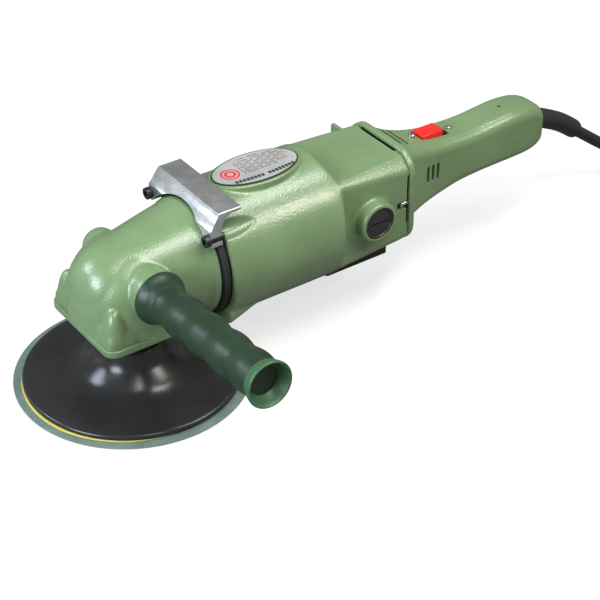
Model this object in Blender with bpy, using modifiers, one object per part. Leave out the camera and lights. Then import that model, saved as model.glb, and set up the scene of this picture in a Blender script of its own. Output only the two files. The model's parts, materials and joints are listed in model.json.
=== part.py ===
"""A right-angle disc sander and polisher for stone and metal, built in Blender as separate pieces.

Metres, +Z up. The origin is on the spindle's axis in the plane of the abrasive face, +X runs along the
motor's axis to the rear handle, and the side handle points along -Y.
"""

import math

import bmesh
import bpy
from mathutils import Matrix, Vector

FIT = 0.0003  # the gap between pieces that seat on each other
RUNNING = 0.0008  # the gap between a piece that turns and the piece around it

# The working end: disc, pad and nut
DISC_RADIUS = 0.090
DISC_THICKNESS = 0.0010
DISC_DISH_RADIUS = 0.030  # where the disc starts to dip towards the nut
DISC_DISH_DEPTH = 0.0050
LINER_RADIUS = DISC_RADIUS - 0.0055
LINER_THICKNESS = 0.0012
PAD_RADIUS = DISC_RADIUS - 0.0075
PAD_RIM = 0.0035
PAD_HUB_RADIUS = 0.0385
PAD_COLLAR_RADIUS = 0.023
PAD_HEIGHT = 0.034
NUT_RADIUS = 0.0185
NUT_FLANGE = 0.0028

# The two shafts
AXIS_HEIGHT = 0.0867  # the motor's axis above the abrasive face
THREAD_RADIUS = 0.0070
SPINDLE_COLLAR_RADIUS = 0.0110
SPINDLE_END = 0.0022
LOWER_BEARING = (0.0085, 0.0200, 0.0120)  # bore radius, outer radius, width
UPPER_BEARING = (0.0060, 0.0100, 0.0120)
FRONT_BEARING = (0.0060, 0.0160, 0.0100)
REAR_BEARING = (0.0050, 0.0130, 0.0090)
UPPER_BEARING_Z = AXIS_HEIGHT + 0.0123

# The bevel gears, whose pitch cones meet where the two axes cross
CROWN_TEETH = 36
PINION_TEETH = 9
CROWN_PITCH_RADIUS = 0.0280
PINION_BACK = CROWN_PITCH_RADIUS + 0.0060  # the rear face of the pinion
FRONT_BEARING_X = PINION_BACK + 0.0030
GEAR_FACE_SHARE = 0.68  # the inner end of a tooth, as a share of the distance of its outer end
ADDENDUM = 0.0010
DEDENDUM = 0.0015
TOOTH_SHARE = 0.32  # a tooth's width at the pitch line, as a share of the pitch

# Motor housing
HOUSING_RADIUS = 0.0526
HOUSING_REAR_RADIUS = HOUSING_RADIUS - 0.0042
HOUSING_LENGTH = 0.1695
HOUSING_WALL = 0.0040
FLAT_HALF_WIDTH = HOUSING_RADIUS - 0.0136
LUG_RADIUS = 0.0090
LUG_LENGTH = 0.0300
LUG_SINK = 0.0020
SCOOP_RADIUS = 0.0085
SCOOP_LENGTH = 0.0300
SCOOP_LIFT = 0.0062
PLATE_HALF_LENGTH = 0.0365
PLATE_HALF_WIDTH = 0.0200
PLATE_THICKNESS = 0.0008
PLATE_SEAT_MARGIN = 0.0022
PLATE_SEAT_RISE = 0.0010  # the nameplate's seat above the round housing
FOOT_LENGTH = 0.0600
FOOT_WIDTH = 0.0380
FOOT_BOTTOM = AXIS_HEIGHT - FLAT_HALF_WIDTH - 0.0162
AIR_SLOT = 0.0022  # width of the gaps at the housing's rear edge
AIR_SLOT_TOP = (-0.0205, 0.0232)
AIR_SLOT_SIDE = (AXIS_HEIGHT - 0.0182, AXIS_HEIGHT + 0.0255)
NOTCH_LENGTH = 0.0112
NOTCH_HEIGHT = 0.0072
HANDLE_SCREW_RADIUS = 0.0018
HANDLE_SCREW_Y = FLAT_HALF_WIDTH - 0.0025

# Gear housing and its cover
GEARBOX_DEPTH = 0.0312  # from the motor's axis down to the cover's underside
COVER_BOTTOM = AXIS_HEIGHT - GEARBOX_DEPTH
COVER_THICKNESS = 0.0055
TOWER_FRONT = 0.0420
TOWER_REAR = 0.0290
TOWER_HALF_WIDTH = 0.0445
TOWER_CORNER = 0.0045
TOWER_BLOCK_TOP = AXIS_HEIGHT - 0.0107
TOWER_INSET = 0.0022  # how far the casting stands back from the cover's edge
COLUMN_RADIUS = 0.0095
COLUMN_TOP = AXIS_HEIGHT - 0.0005
GEAR_ROOM_RADIUS = CROWN_PITCH_RADIUS + 0.0030
GEAR_ROOM_TOP = AXIS_HEIGHT - 0.0022
NECK_REAR = FRONT_BEARING_X + 0.0165
NECK_RIM_RADIUS = HOUSING_RADIUS - 0.0066
NECK_RIM_LENGTH = 0.0050
NECK_PROFILE = (  # radius and x of the neck's front, from its rim to its nose
    (0.0415, 0.0300),
    (0.0386, 0.0150),
    (0.0356, 0.0000),
    (0.0335, -0.0150),
    (0.0305, -0.0250),
    (0.0240, -0.0350),
    (0.0130, -0.0415),
    (0.0000, -0.0435),
)
DOME_PROFILE = (  # radius and height above the motor's axis of the tower's round top
    (0.0000, 0.0323),
    (0.0200, 0.0298),
    (0.0330, 0.0213),
    (0.0410, 0.0083),
    (0.0445, -0.0067),
)
DOME_FOOT_RADIUS = 0.0450
HANDLE_BOSS_RADIUS = 0.0205
HANDLE_BOSS_FACE = 0.0430
SPARE_BOSS_RADIUS = 0.0140
SPARE_BOSS_FACE = 0.0470

# Stations along the motor's axis
HOUSING_FRONT = NECK_REAR + 0.0065
HOUSING_REAR = HOUSING_FRONT + HOUSING_LENGTH
FLAT_START = HOUSING_REAR - 0.0725
FLAT_FULL = HOUSING_REAR - 0.0635
BRUSH_X = HOUSING_REAR - 0.0355
REAR_BEARING_X = HOUSING_REAR - 0.0200
PLATE_CENTRE_X = HOUSING_FRONT + 0.0532

# Strap and saddle over the joint between the gear housing and the motor housing
STRAP_WIDTH = 0.0060
STRAP_THICKNESS = 0.0022
SADDLE_TOP = AXIS_HEIGHT + HOUSING_RADIUS + 0.0027
SADDLE_PLATE = 0.0025  # thickness of its flat top
SADDLE_HALF_WIDTH = HOUSING_RADIUS * 0.78
SADDLE_FRONT = NECK_REAR - 0.0070
SADDLE_REAR = NECK_REAR + 0.0205
SADDLE_LEG_BOTTOM = SADDLE_TOP - 0.0255
SADDLE_BOLT_Y = HOUSING_RADIUS * 0.7605
SADDLE_BOLT_Z = AXIS_HEIGHT + HOUSING_RADIUS * 0.6806
SADDLE_BOLT_RADIUS = 0.0030

# Motor
STATOR_LENGTH = 0.0460
STATOR_CENTRE_X = HOUSING_FRONT + 0.0340 + STATOR_LENGTH / 2
COIL_RADII = (0.0290, HOUSING_RADIUS - 0.0106)
COIL_LENGTH = 0.0120
ARMATURE_RADIUS = 0.0255
STATOR_BORE_RADIUS = 0.0268
COMMUTATOR_RADIUS = 0.0160
COMMUTATOR_LENGTH = 0.0220
FAN_RADIUS = HOUSING_RADIUS - 0.0096
FAN_WIDTH = 0.0130
FAN_BLADES = 9
SHAFT_RADIUS = 0.0070

# Carbon brushes, one on each side
BRUSH_SIZE = (0.0060, 0.0150, 0.0100)
BRUSH_TRAVEL = 0.0040
HOLDER_RADIUS = 0.0110
HOLDER_START = 0.0190
BOSS_FACE = FLAT_HALF_WIDTH + 0.0105
HOLDER_END = BOSS_FACE - 0.0060
CAP_RADIUS = 0.0135
BOSS_RADIUS = CAP_RADIUS + 0.0041

# Rear handle and slide switch
FLANGE_THICKNESS = 0.0052
FLANGE_FRONT = HOUSING_REAR + FIT
FLANGE_REAR = FLANGE_FRONT + FLANGE_THICKNESS
FLANGE_HALF_WIDTH = FLAT_HALF_WIDTH + 0.0010
FLANGE_CORNER = 0.0200
FLANGE_TOP = AXIS_HEIGHT + FLAT_HALF_WIDTH + 0.0031
FLANGE_BOTTOM = AXIS_HEIGHT - FLAT_HALF_WIDTH - 0.0010
HANDLE_WALL = 0.0030
HANDLE_SPLIT_Z = AXIS_HEIGHT - 0.0092
SWITCH_FRONT = FLANGE_REAR + 0.0325
SWITCH_LENGTH = 0.0210
SWITCH_WIDTH = 0.0140
SWITCH_TOP = AXIS_HEIGHT + 0.0313
SWITCH_TRAVEL = 0.0045
SWITCH_BODY_TOP = AXIS_HEIGHT + 0.0218
SWITCH_CLEARANCE = 0.0012
VENT_START = FLANGE_REAR + 0.0275
VENT_PITCH = 0.0052
VENT_WIDTH = 0.0026
VENT_HEIGHTS = (AXIS_HEIGHT - 0.0032, AXIS_HEIGHT + 0.0118)
TOP_VENT_START = FLANGE_REAR + 0.0070
TOP_VENT_PITCH = 0.0048
TOP_VENT_WIDTH = 0.0018
TOP_VENT_HALF_LENGTH = 0.0130
TAIL_HOLE_X = FLANGE_REAR + 0.1175
TAIL_HOLE_RADIUS = 0.0016
SCREW_RADIUS = 0.0024

# Side handle
GRIP_AXIS_Z = AXIS_HEIGHT + 0.0083
GRIP_LENGTH = 0.1400
GRIP_TILT = 0.0730  # the grip rises by this angle as it runs outwards
GRIP_FLANGE_RADIUS = 0.0215
GRIP_RADIUS = 0.0150
GRIP_END_RADIUS = 0.0190
STUD_RADIUS = 0.0050

# Mains cord
CORD_RADIUS = 0.0050
SLEEVE_RADIUS = 0.0088
SLEEVE_END_RADIUS = 0.0081
SLEEVE_LENGTH = 0.0600
COIL_CENTRE = (0.5050, -0.1000)
COIL_TURNS_ACROSS = 3
COIL_LAYERS = 2
COIL_MIDDLE_RADIUS = 0.0550
PLUG_LENGTH = 0.0360
PLUG_RADIUS = 0.0140
PLUG_PIN_LENGTH = 0.0190
PLUG_PIN_RADIUS = 0.0024
PLUG_PIN_SPACING = 0.0190

# The cord's route from the handle's tail to the coil, and from the coil to the plug
ROUTE_OUT = (
    (0.3880, 0.000, 0.0924),
    (0.3910, 0.000, 0.0920),
    (0.4010, 0.000, 0.0888),
    (0.4240, 0.000, 0.0772),
    (0.4490, -0.001, 0.0592),
    (0.4720, -0.003, 0.0425),
    (0.4960, -0.007, 0.0265),
    (0.5200, -0.015, 0.0130),
    (0.5420, -0.028, 0.0065),
    (0.5590, -0.046, 0.0052),
)
ROUTE_TAIL = (
    (0.4740, -0.1727, 0.0140),
    (0.4570, -0.1762, 0.0141),
    (0.4400, -0.1796, 0.0142),
)

MOTOR_AXIS = Vector((0, 0, AXIS_HEIGHT))
TO_X = Matrix.Rotation(math.radians(90), 4, "Y")  # turns the Z axis to +X, and +X to -Z
TO_Y = Matrix.Rotation(math.radians(-90), 4, "X")  # turns the Z axis to +Y


# ---------------------------------------------------------------- helpers


def clear_scene():
    for thing in list(bpy.data.objects):
        bpy.data.objects.remove(thing, do_unlink=True)


def new_collection(name):
    made = bpy.data.collections.new(name)
    bpy.context.scene.collection.children.link(made)
    return made


clear_scene()
PARTS = new_collection("disc_sander")
CUTTERS = new_collection("cutters")


def material(name, colour, roughness, metallic=0.0):
    made = bpy.data.materials.get(name)
    if made is None:
        made = bpy.data.materials.new(name)
        made.use_nodes = True
        shader = made.node_tree.nodes["Principled BSDF"]
        shader.inputs["Base Color"].default_value = (*colour, 1.0)
        shader.inputs["Roughness"].default_value = roughness
        shader.inputs["Metallic"].default_value = metallic
    return made


def green_paint():
    return material("green_paint", (0.23, 0.37, 0.21), 0.35)


def green_rubber():
    return material("green_grip", (0.06, 0.12, 0.07), 0.5)


def steel():
    return material("steel", (0.55, 0.56, 0.58), 0.3, 1.0)


def cast_aluminium():
    return material("cast_aluminium", (0.60, 0.62, 0.62), 0.4, 1.0)


def black_plastic():
    return material("black_plastic", (0.03, 0.03, 0.03), 0.5)


def black_rubber():
    return material("black_rubber", (0.025, 0.025, 0.025), 0.75)


def copper():
    return material("copper", (0.70, 0.32, 0.15), 0.35, 1.0)


def laminated_steel():
    return material("laminated_steel", (0.30, 0.30, 0.32), 0.5, 1.0)


def place(name, mesh, where=None, collection=None):
    """A mesh as a named object, with its place and turn in its matrix."""
    made = bpy.data.objects.new(name, mesh)
    (collection or PARTS).objects.link(made)
    made.matrix_world = where or Matrix.Identity(4)
    return made


def finish(thing, finish_material, angle=35):
    """Gives a piece its material, and smooth shading with sharp edges kept."""
    thing.data.materials.clear()
    thing.data.materials.append(finish_material)
    thing.data.shade_smooth()
    thing.data.set_sharp_from_angle(angle=math.radians(angle))
    return thing


def mesh_from(name, build):
    mesh = bpy.data.meshes.new(name)
    work = bmesh.new()
    build(work)
    bmesh.ops.recalc_face_normals(work, faces=work.faces)
    work.to_mesh(mesh)
    work.free()
    return mesh


def box(name, low, high, collection=None):
    """A box between two corners, with its origin at its middle."""
    low, high = Vector(low), Vector(high)
    size = high - low

    def build(work):
        bmesh.ops.create_cube(work, size=1.0)
        bmesh.ops.scale(work, vec=size, verts=work.verts)

    return place(name, mesh_from(name, build), Matrix.Translation((low + high) / 2), collection)


def rod(name, radius, start, end, segments=24, end_radius=None, collection=None):
    """A cylinder or cone between two points."""
    start, end = Vector(start), Vector(end)
    along = end - start

    def build(work):
        bmesh.ops.create_cone(
            work,
            cap_ends=True,
            segments=segments,
            radius1=radius,
            radius2=radius if end_radius is None else end_radius,
            depth=along.length,
        )

    turn = Vector((0, 0, 1)).rotation_difference(along).to_matrix().to_4x4()
    where = Matrix.Translation((start + end) / 2) @ turn
    return place(name, mesh_from(name, build), where, collection)


def turned(name, profile, where=None, segments=32, collection=None):
    """A profile of (radius, height) pairs, listed down its outer side, turned about local Z."""
    mesh = bpy.data.meshes.new(name)
    points = [(radius, 0, height) for radius, height in profile]
    closed = profile[0][0] > 0
    edges = [(i, i + 1) for i in range(len(points) - 1)]
    if closed:
        edges.append((len(points) - 1, 0))
    mesh.from_pydata(points, edges, [])
    made = place(name, mesh, where, collection)
    screw = made.modifiers.new("turn", "SCREW")
    screw.axis = "Z"
    screw.angle = 2 * math.pi
    screw.steps = screw.render_steps = segments
    screw.use_merge_vertices = True
    screw.merge_threshold = 0.00001
    screw.use_smooth_shade = True
    return made


def ring(name, inner, outer, low, high, where=None, segments=32, collection=None):
    profile = ((inner, high), (outer, high), (outer, low), (inner, low))
    return turned(name, profile, where, segments, collection)


def on_x(x):
    """Places local Z along +X on the motor's axis, starting at x."""
    return Matrix.Translation(MOTOR_AXIS + Vector((x, 0, 0))) @ TO_X


def combine(target, other, operation):
    """Adds or cuts with another object, which becomes a guide that isn't a part."""
    modifier = target.modifiers.new(f"{operation.lower()}_{other.name}", "BOOLEAN")
    modifier.operation = operation
    modifier.solver = "EXACT"
    modifier.object = other
    for holder in list(other.users_collection):
        holder.objects.unlink(other)
    CUTTERS.objects.link(other)
    other.hide_render = True
    other.display_type = "WIRE"
    return target


def cut(target, *others):
    for other in others:
        combine(target, other, "DIFFERENCE")
    return target


def join(target, *others):
    for other in others:
        combine(target, other, "UNION")
    return target


def bevel(target, width, segments=2, angle=35):
    modifier = target.modifiers.new("bevel", "BEVEL")
    modifier.width = width
    modifier.segments = segments
    modifier.limit_method = "ANGLE"
    modifier.angle_limit = math.radians(angle)
    modifier.use_clamp_overlap = True
    return target


def upright_block(name, low, high, corner, segments=4, collection=None):
    """A box whose four edges along Z are rounded."""
    low, high = Vector(low), Vector(high)
    size = high - low

    def build(work):
        bmesh.ops.create_cube(work, size=1.0)
        bmesh.ops.scale(work, vec=size, verts=work.verts)
        upright = [e for e in work.edges if abs(e.verts[0].co.z - e.verts[1].co.z) > size.z / 2]
        bmesh.ops.bevel(
            work, geom=upright, offset=corner, segments=segments, profile=0.5, affect="EDGES"
        )

    return place(name, mesh_from(name, build), Matrix.Translation((low + high) / 2), collection)


def rounded_section(x, half_width, bottom, top, corner, arc_points=4):
    """Points around a rounded rectangle in the plane at x, from its top right corner."""
    middle = (bottom + top) / 2
    half_height = (top - bottom) / 2
    points = []
    for quarter, (side_y, side_z) in enumerate(((1, 1), (-1, 1), (-1, -1), (1, -1))):
        for step in range(arc_points):
            angle = math.radians(90) * (quarter + step / (arc_points - 1))
            y = side_y * (half_width - corner) + corner * math.cos(angle)
            z = middle + side_z * (half_height - corner) + corner * math.sin(angle)
            points.append(Vector((x, y, z)))
    return points


def loft(name, sections, collection=None):
    """A closed skin through sections that have the same number of points."""

    def build(work):
        rings = [[work.verts.new(point) for point in section] for section in sections]
        for first, second in zip(rings, rings[1:]):
            for i, corner in enumerate(first):
                after = (i + 1) % len(first)
                work.faces.new((corner, first[after], second[after], second[i]))
        work.faces.new(list(reversed(rings[0])))
        work.faces.new(rings[-1])

    return place(name, mesh_from(name, build), None, collection)


def outline(name, points, thickness, where=None, collection=None):
    """A flat outline in local XY, given half of its thickness on each side of local Z."""
    curve = bpy.data.curves.new(name, "CURVE")
    curve.dimensions = "2D"
    curve.fill_mode = "BOTH"
    curve.extrude = thickness / 2
    spline = curve.splines.new("POLY")
    spline.points.add(len(points) - 1)
    for point, (x, y) in zip(spline.points, points):
        point.co = (x, y, 0, 1)
    spline.use_cyclic_u = True
    return as_mesh(name, curve, where, collection)


def as_mesh(name, curve, where=None, collection=None):
    """A curve made a welded mesh, so that it can be cut and joined."""
    guide = bpy.data.objects.new(f"{name}_curve", curve)
    CUTTERS.objects.link(guide)
    view = bpy.context.evaluated_depsgraph_get()
    mesh = bpy.data.meshes.new_from_object(guide.evaluated_get(view))
    bpy.data.objects.remove(guide, do_unlink=True)
    work = bmesh.new()
    work.from_mesh(mesh)
    bmesh.ops.remove_doubles(work, verts=work.verts, dist=0.000001)
    bmesh.ops.recalc_face_normals(work, faces=work.faces)
    work.to_mesh(mesh)
    work.free()
    return place(name, mesh, where, collection)


def smooth_route(points):
    """A Catmull-Rom curve through the points, and the length along it at each point."""
    points = [Vector(p) for p in points]
    padded = [2 * points[0] - points[1], *points, 2 * points[-1] - points[-2]]
    fine = []
    for a, b, c, d in zip(padded, padded[1:], padded[2:], padded[3:]):
        for step in range(20):
            t = step / 20
            fine.append(
                0.5
                * (
                    2 * b
                    + (c - a) * t
                    + (2 * a - 5 * b + 4 * c - d) * t * t
                    + (3 * b - a - 3 * c + d) * t**3
                )
            )
    fine.append(points[-1])
    lengths = [0.0]
    for a, b in zip(fine, fine[1:]):
        lengths.append(lengths[-1] + (b - a).length)
    return fine, lengths


def route_between(points, start, end, spacing):
    """Points of the smooth route between two distances along it."""
    fine, lengths = smooth_route(points)
    end = min(end, lengths[-1])
    count = max(2, round((end - start) / spacing) + 1)
    taken = []
    for i in range(count):
        wanted = start + (end - start) * i / (count - 1)
        k = max(1, next((j for j, length in enumerate(lengths) if length >= wanted), len(fine) - 1))
        share = (wanted - lengths[k - 1]) / (lengths[k] - lengths[k - 1])
        taken.append(fine[k - 1].lerp(fine[k], share))
    return taken


def tube(name, points, radius, end_radius=None, sides=2):
    """A round tube on a poly line; with an end radius it tapers."""
    curve = bpy.data.curves.new(name, "CURVE")
    curve.dimensions = "3D"
    curve.bevel_depth = radius
    curve.bevel_resolution = sides
    curve.use_fill_caps = True
    spline = curve.splines.new("POLY")
    spline.points.add(len(points) - 1)
    last = len(points) - 1
    for i, point in enumerate(points):
        spline.points[i].co = (*point, 1)
        if end_radius is not None:
            spline.points[i].radius = 1 + (end_radius / radius - 1) * i / last
    return as_mesh(name, curve)


# ---------------------------------------------------------------- the working end

LINER_TOP = DISC_THICKNESS + FIT + LINER_THICKNESS
PAD_BOTTOM = LINER_TOP + FIT
DISC_HOLE_RADIUS = THREAD_RADIUS + 0.0045


def abrasive_disc():
    """A fibre disc, flat at its rim and dished at its middle."""
    dish, depth, thick = DISC_DISH_RADIUS, DISC_DISH_DEPTH, DISC_THICKNESS
    flat = dish - 0.0080
    profile = (
        (DISC_HOLE_RADIUS, depth + thick),
        (flat, depth + thick),
        (dish, thick),
        (DISC_RADIUS, thick),
        (DISC_RADIUS, 0),
        (dish, 0),
        (flat, depth),
        (DISC_HOLE_RADIUS, depth),
    )
    disc = turned("abrasive_disc", profile, segments=48)
    return finish(disc, material("abrasive", (0.20, 0.28, 0.27), 0.8))


def liner_disc():
    low = DISC_THICKNESS + FIT
    liner = ring("liner_disc", DISC_DISH_RADIUS + 0.002, LINER_RADIUS, low, LINER_TOP, segments=48)
    return finish(liner, material("yellow_fibre", (0.75, 0.62, 0.12), 0.6))


def backing_pad():
    """A moulded rubber pad with a thin rim and a domed hub around its bore."""
    bore = THREAD_RADIUS + FIT
    recess = DISC_DISH_RADIUS + 0.0005
    recess_top = DISC_DISH_DEPTH + DISC_THICKNESS + FIT
    profile = (
        (bore, PAD_HEIGHT),
        (PAD_COLLAR_RADIUS, PAD_HEIGHT),
        (PAD_COLLAR_RADIUS + 0.0010, PAD_HEIGHT - 0.0045),
        (PAD_HUB_RADIUS - 0.0060, PAD_BOTTOM + 0.0125),
        (PAD_HUB_RADIUS, PAD_BOTTOM + 0.0060),
        (PAD_HUB_RADIUS + 0.0050, PAD_BOTTOM + 0.0048),
        (PAD_RADIUS - 0.0010, PAD_BOTTOM + PAD_RIM),
        (PAD_RADIUS, PAD_BOTTOM + PAD_RIM - 0.0010),
        (PAD_RADIUS, PAD_BOTTOM),
        (recess, PAD_BOTTOM),
        (recess - 0.0075, recess_top),
        (bore, recess_top),
    )
    pad = turned("backing_pad", profile, segments=36)
    return finish(pad, black_rubber())


def clamp_nut():
    """The flanged nut that draws the disc up into the pad's recess."""
    top = DISC_DISH_DEPTH - FIT
    bore = THREAD_RADIUS + FIT
    collar = DISC_HOLE_RADIUS - FIT
    profile = (
        (bore, DISC_DISH_DEPTH + DISC_THICKNESS),
        (collar, DISC_DISH_DEPTH + DISC_THICKNESS),
        (collar, top),
        (NUT_RADIUS, top),
        (NUT_RADIUS, top - NUT_FLANGE),
        (bore, top - NUT_FLANGE),
    )
    nut = turned("clamp_nut", profile, segments=24)
    for side in (-1, 1):
        hole = rod(
            f"nut_key_hole_{side}", 0.0022, (side * 0.014, 0, 0), (side * 0.014, 0, top - 0.001), 8
        )
        cut(nut, hole)
    return finish(nut, steel())


COVER_TOP = COVER_BOTTOM + COVER_THICKNESS
LOWER_BEARING_Z = COVER_BOTTOM + 0.0030
GEAR_SEAT_RADIUS = 0.0095
CROWN_HUB_BOTTOM = LOWER_BEARING_Z + LOWER_BEARING[2] + FIT


def crown_height(radius, offset=0.0):
    """Height of the crown's pitch cone at a radius, plus an offset scaled towards the apex."""
    slope = PINION_TEETH / CROWN_TEETH
    return AXIS_HEIGHT - radius * slope + offset * radius / CROWN_PITCH_RADIUS


CROWN_WEB_TOP = crown_height(CROWN_PITCH_RADIUS * GEAR_FACE_SHARE) - 0.0030


def spindle():
    journal = LOWER_BEARING[0] - FIT
    upper = UPPER_BEARING[0] - FIT
    profile = (
        (0, UPPER_BEARING_Z + UPPER_BEARING[2] + 0.0005),
        (upper, UPPER_BEARING_Z + UPPER_BEARING[2] + 0.0005),
        (upper, CROWN_WEB_TOP + 0.0010),
        (GEAR_SEAT_RADIUS, CROWN_WEB_TOP + 0.0010),
        (GEAR_SEAT_RADIUS, CROWN_HUB_BOTTOM),
        (journal, CROWN_HUB_BOTTOM),
        (journal, LOWER_BEARING_Z - FIT),
        (SPINDLE_COLLAR_RADIUS, LOWER_BEARING_Z - FIT),
        (SPINDLE_COLLAR_RADIUS, PAD_HEIGHT + FIT),
        (THREAD_RADIUS, PAD_HEIGHT + FIT),
        (THREAD_RADIUS, SPINDLE_END),
        (0, SPINDLE_END),
    )
    return finish(turned("spindle", profile, segments=20), steel())


# ---------------------------------------------------------------- bevel gears


def tooth(work, scale_in, corners, turn):
    """One tapered tooth: its outer section, and the same section scaled towards the apex."""
    made = bmesh.ops.create_cube(work, size=1.0)["verts"]
    for vertex in made:
        side = 1 if vertex.co.y > 0 else -1
        high = vertex.co.z > 0
        outer = vertex.co.x > 0
        distance, half_width, height = corners[high]
        scale = 1.0 if outer else scale_in
        vertex.co = turn @ Vector((distance * scale, side * half_width * scale, height * scale))


def crown_gear():
    """A bevel gear wheel whose teeth point up at the pinion."""
    pitch = 2 * math.pi * CROWN_PITCH_RADIUS / CROWN_TEETH
    half = pitch * TOOTH_SHARE / 2
    rise = -PINION_TEETH / CROWN_TEETH * CROWN_PITCH_RADIUS
    inner = CROWN_PITCH_RADIUS * GEAR_FACE_SHARE
    root_out = crown_height(CROWN_PITCH_RADIUS, -DEDENDUM)
    root_in = crown_height(inner, -DEDENDUM)
    profile = (
        (GEAR_SEAT_RADIUS + FIT, CROWN_WEB_TOP),
        (inner - 0.0020, CROWN_WEB_TOP),
        (inner - 0.0008, root_in),
        (CROWN_PITCH_RADIUS + 0.0006, root_out - 0.0001),
        (CROWN_PITCH_RADIUS + 0.0006, root_out - 0.0030),
        (GEAR_SEAT_RADIUS + 0.0065, root_out - 0.0060),
        (GEAR_SEAT_RADIUS + 0.0055, CROWN_HUB_BOTTOM + FIT),
        (GEAR_SEAT_RADIUS + FIT, CROWN_HUB_BOTTOM + FIT),
    )
    wheel = turned("crown_gear", profile, segments=36)

    def build(work):
        low = (CROWN_PITCH_RADIUS, half * 1.35, rise - DEDENDUM - 0.0006)
        high = (CROWN_PITCH_RADIUS, half * 0.8, rise + ADDENDUM)
        for i in range(CROWN_TEETH):
            turn = Matrix.Rotation(2 * math.pi * (i + 0.5) / CROWN_TEETH, 4, "Z")
            tooth(work, GEAR_FACE_SHARE, (low, high), turn)

    teeth = place("crown_teeth", mesh_from("crown_teeth", build), Matrix.Translation(MOTOR_AXIS))
    return finish(join(wheel, teeth), steel())


SHAFT_TIP = CROWN_PITCH_RADIUS - 0.0012
SHAFT_TIP_RADIUS = 0.0036


def bevel_pinion():
    """The small bevel gear on the front of the armature's shaft."""
    radius = CROWN_PITCH_RADIUS * PINION_TEETH / CROWN_TEETH
    half = math.pi * radius / PINION_TEETH * TOOTH_SHARE
    inner = CROWN_PITCH_RADIUS * GEAR_FACE_SHARE
    root = radius - DEDENDUM
    profile = (
        (0, inner - 0.0004),
        (root * GEAR_FACE_SHARE, inner - 0.0004),
        (root, CROWN_PITCH_RADIUS + 0.0002),
        (radius, CROWN_PITCH_RADIUS + 0.0010),
        (radius, PINION_BACK),
        (SHAFT_TIP_RADIUS + FIT, PINION_BACK),
        (SHAFT_TIP_RADIUS + FIT, SHAFT_TIP - FIT),
        (0, SHAFT_TIP - FIT),
    )
    # The profile runs from the nose backwards, so its heights are mirrored to run downwards
    where = Matrix.Translation(MOTOR_AXIS) @ Matrix.Rotation(math.radians(-90), 4, "Y")
    mirrored = [(r, -x) for r, x in profile]
    pinion = turned("bevel_pinion", mirrored, where, segments=18)

    def build(work):
        for i in range(PINION_TEETH):
            turn = Matrix.Rotation(2 * math.pi * i / PINION_TEETH + math.pi, 4, "X")
            low = (CROWN_PITCH_RADIUS, half * 1.3, root - 0.0005)
            high = (CROWN_PITCH_RADIUS, half * 0.8, radius + ADDENDUM)
            tooth(work, GEAR_FACE_SHARE, (low, high), turn)

    teeth = place("pinion_teeth", mesh_from("pinion_teeth", build), Matrix.Translation(MOTOR_AXIS))
    return finish(join(pinion, teeth), steel())


# ---------------------------------------------------------------- gear housing


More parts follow.
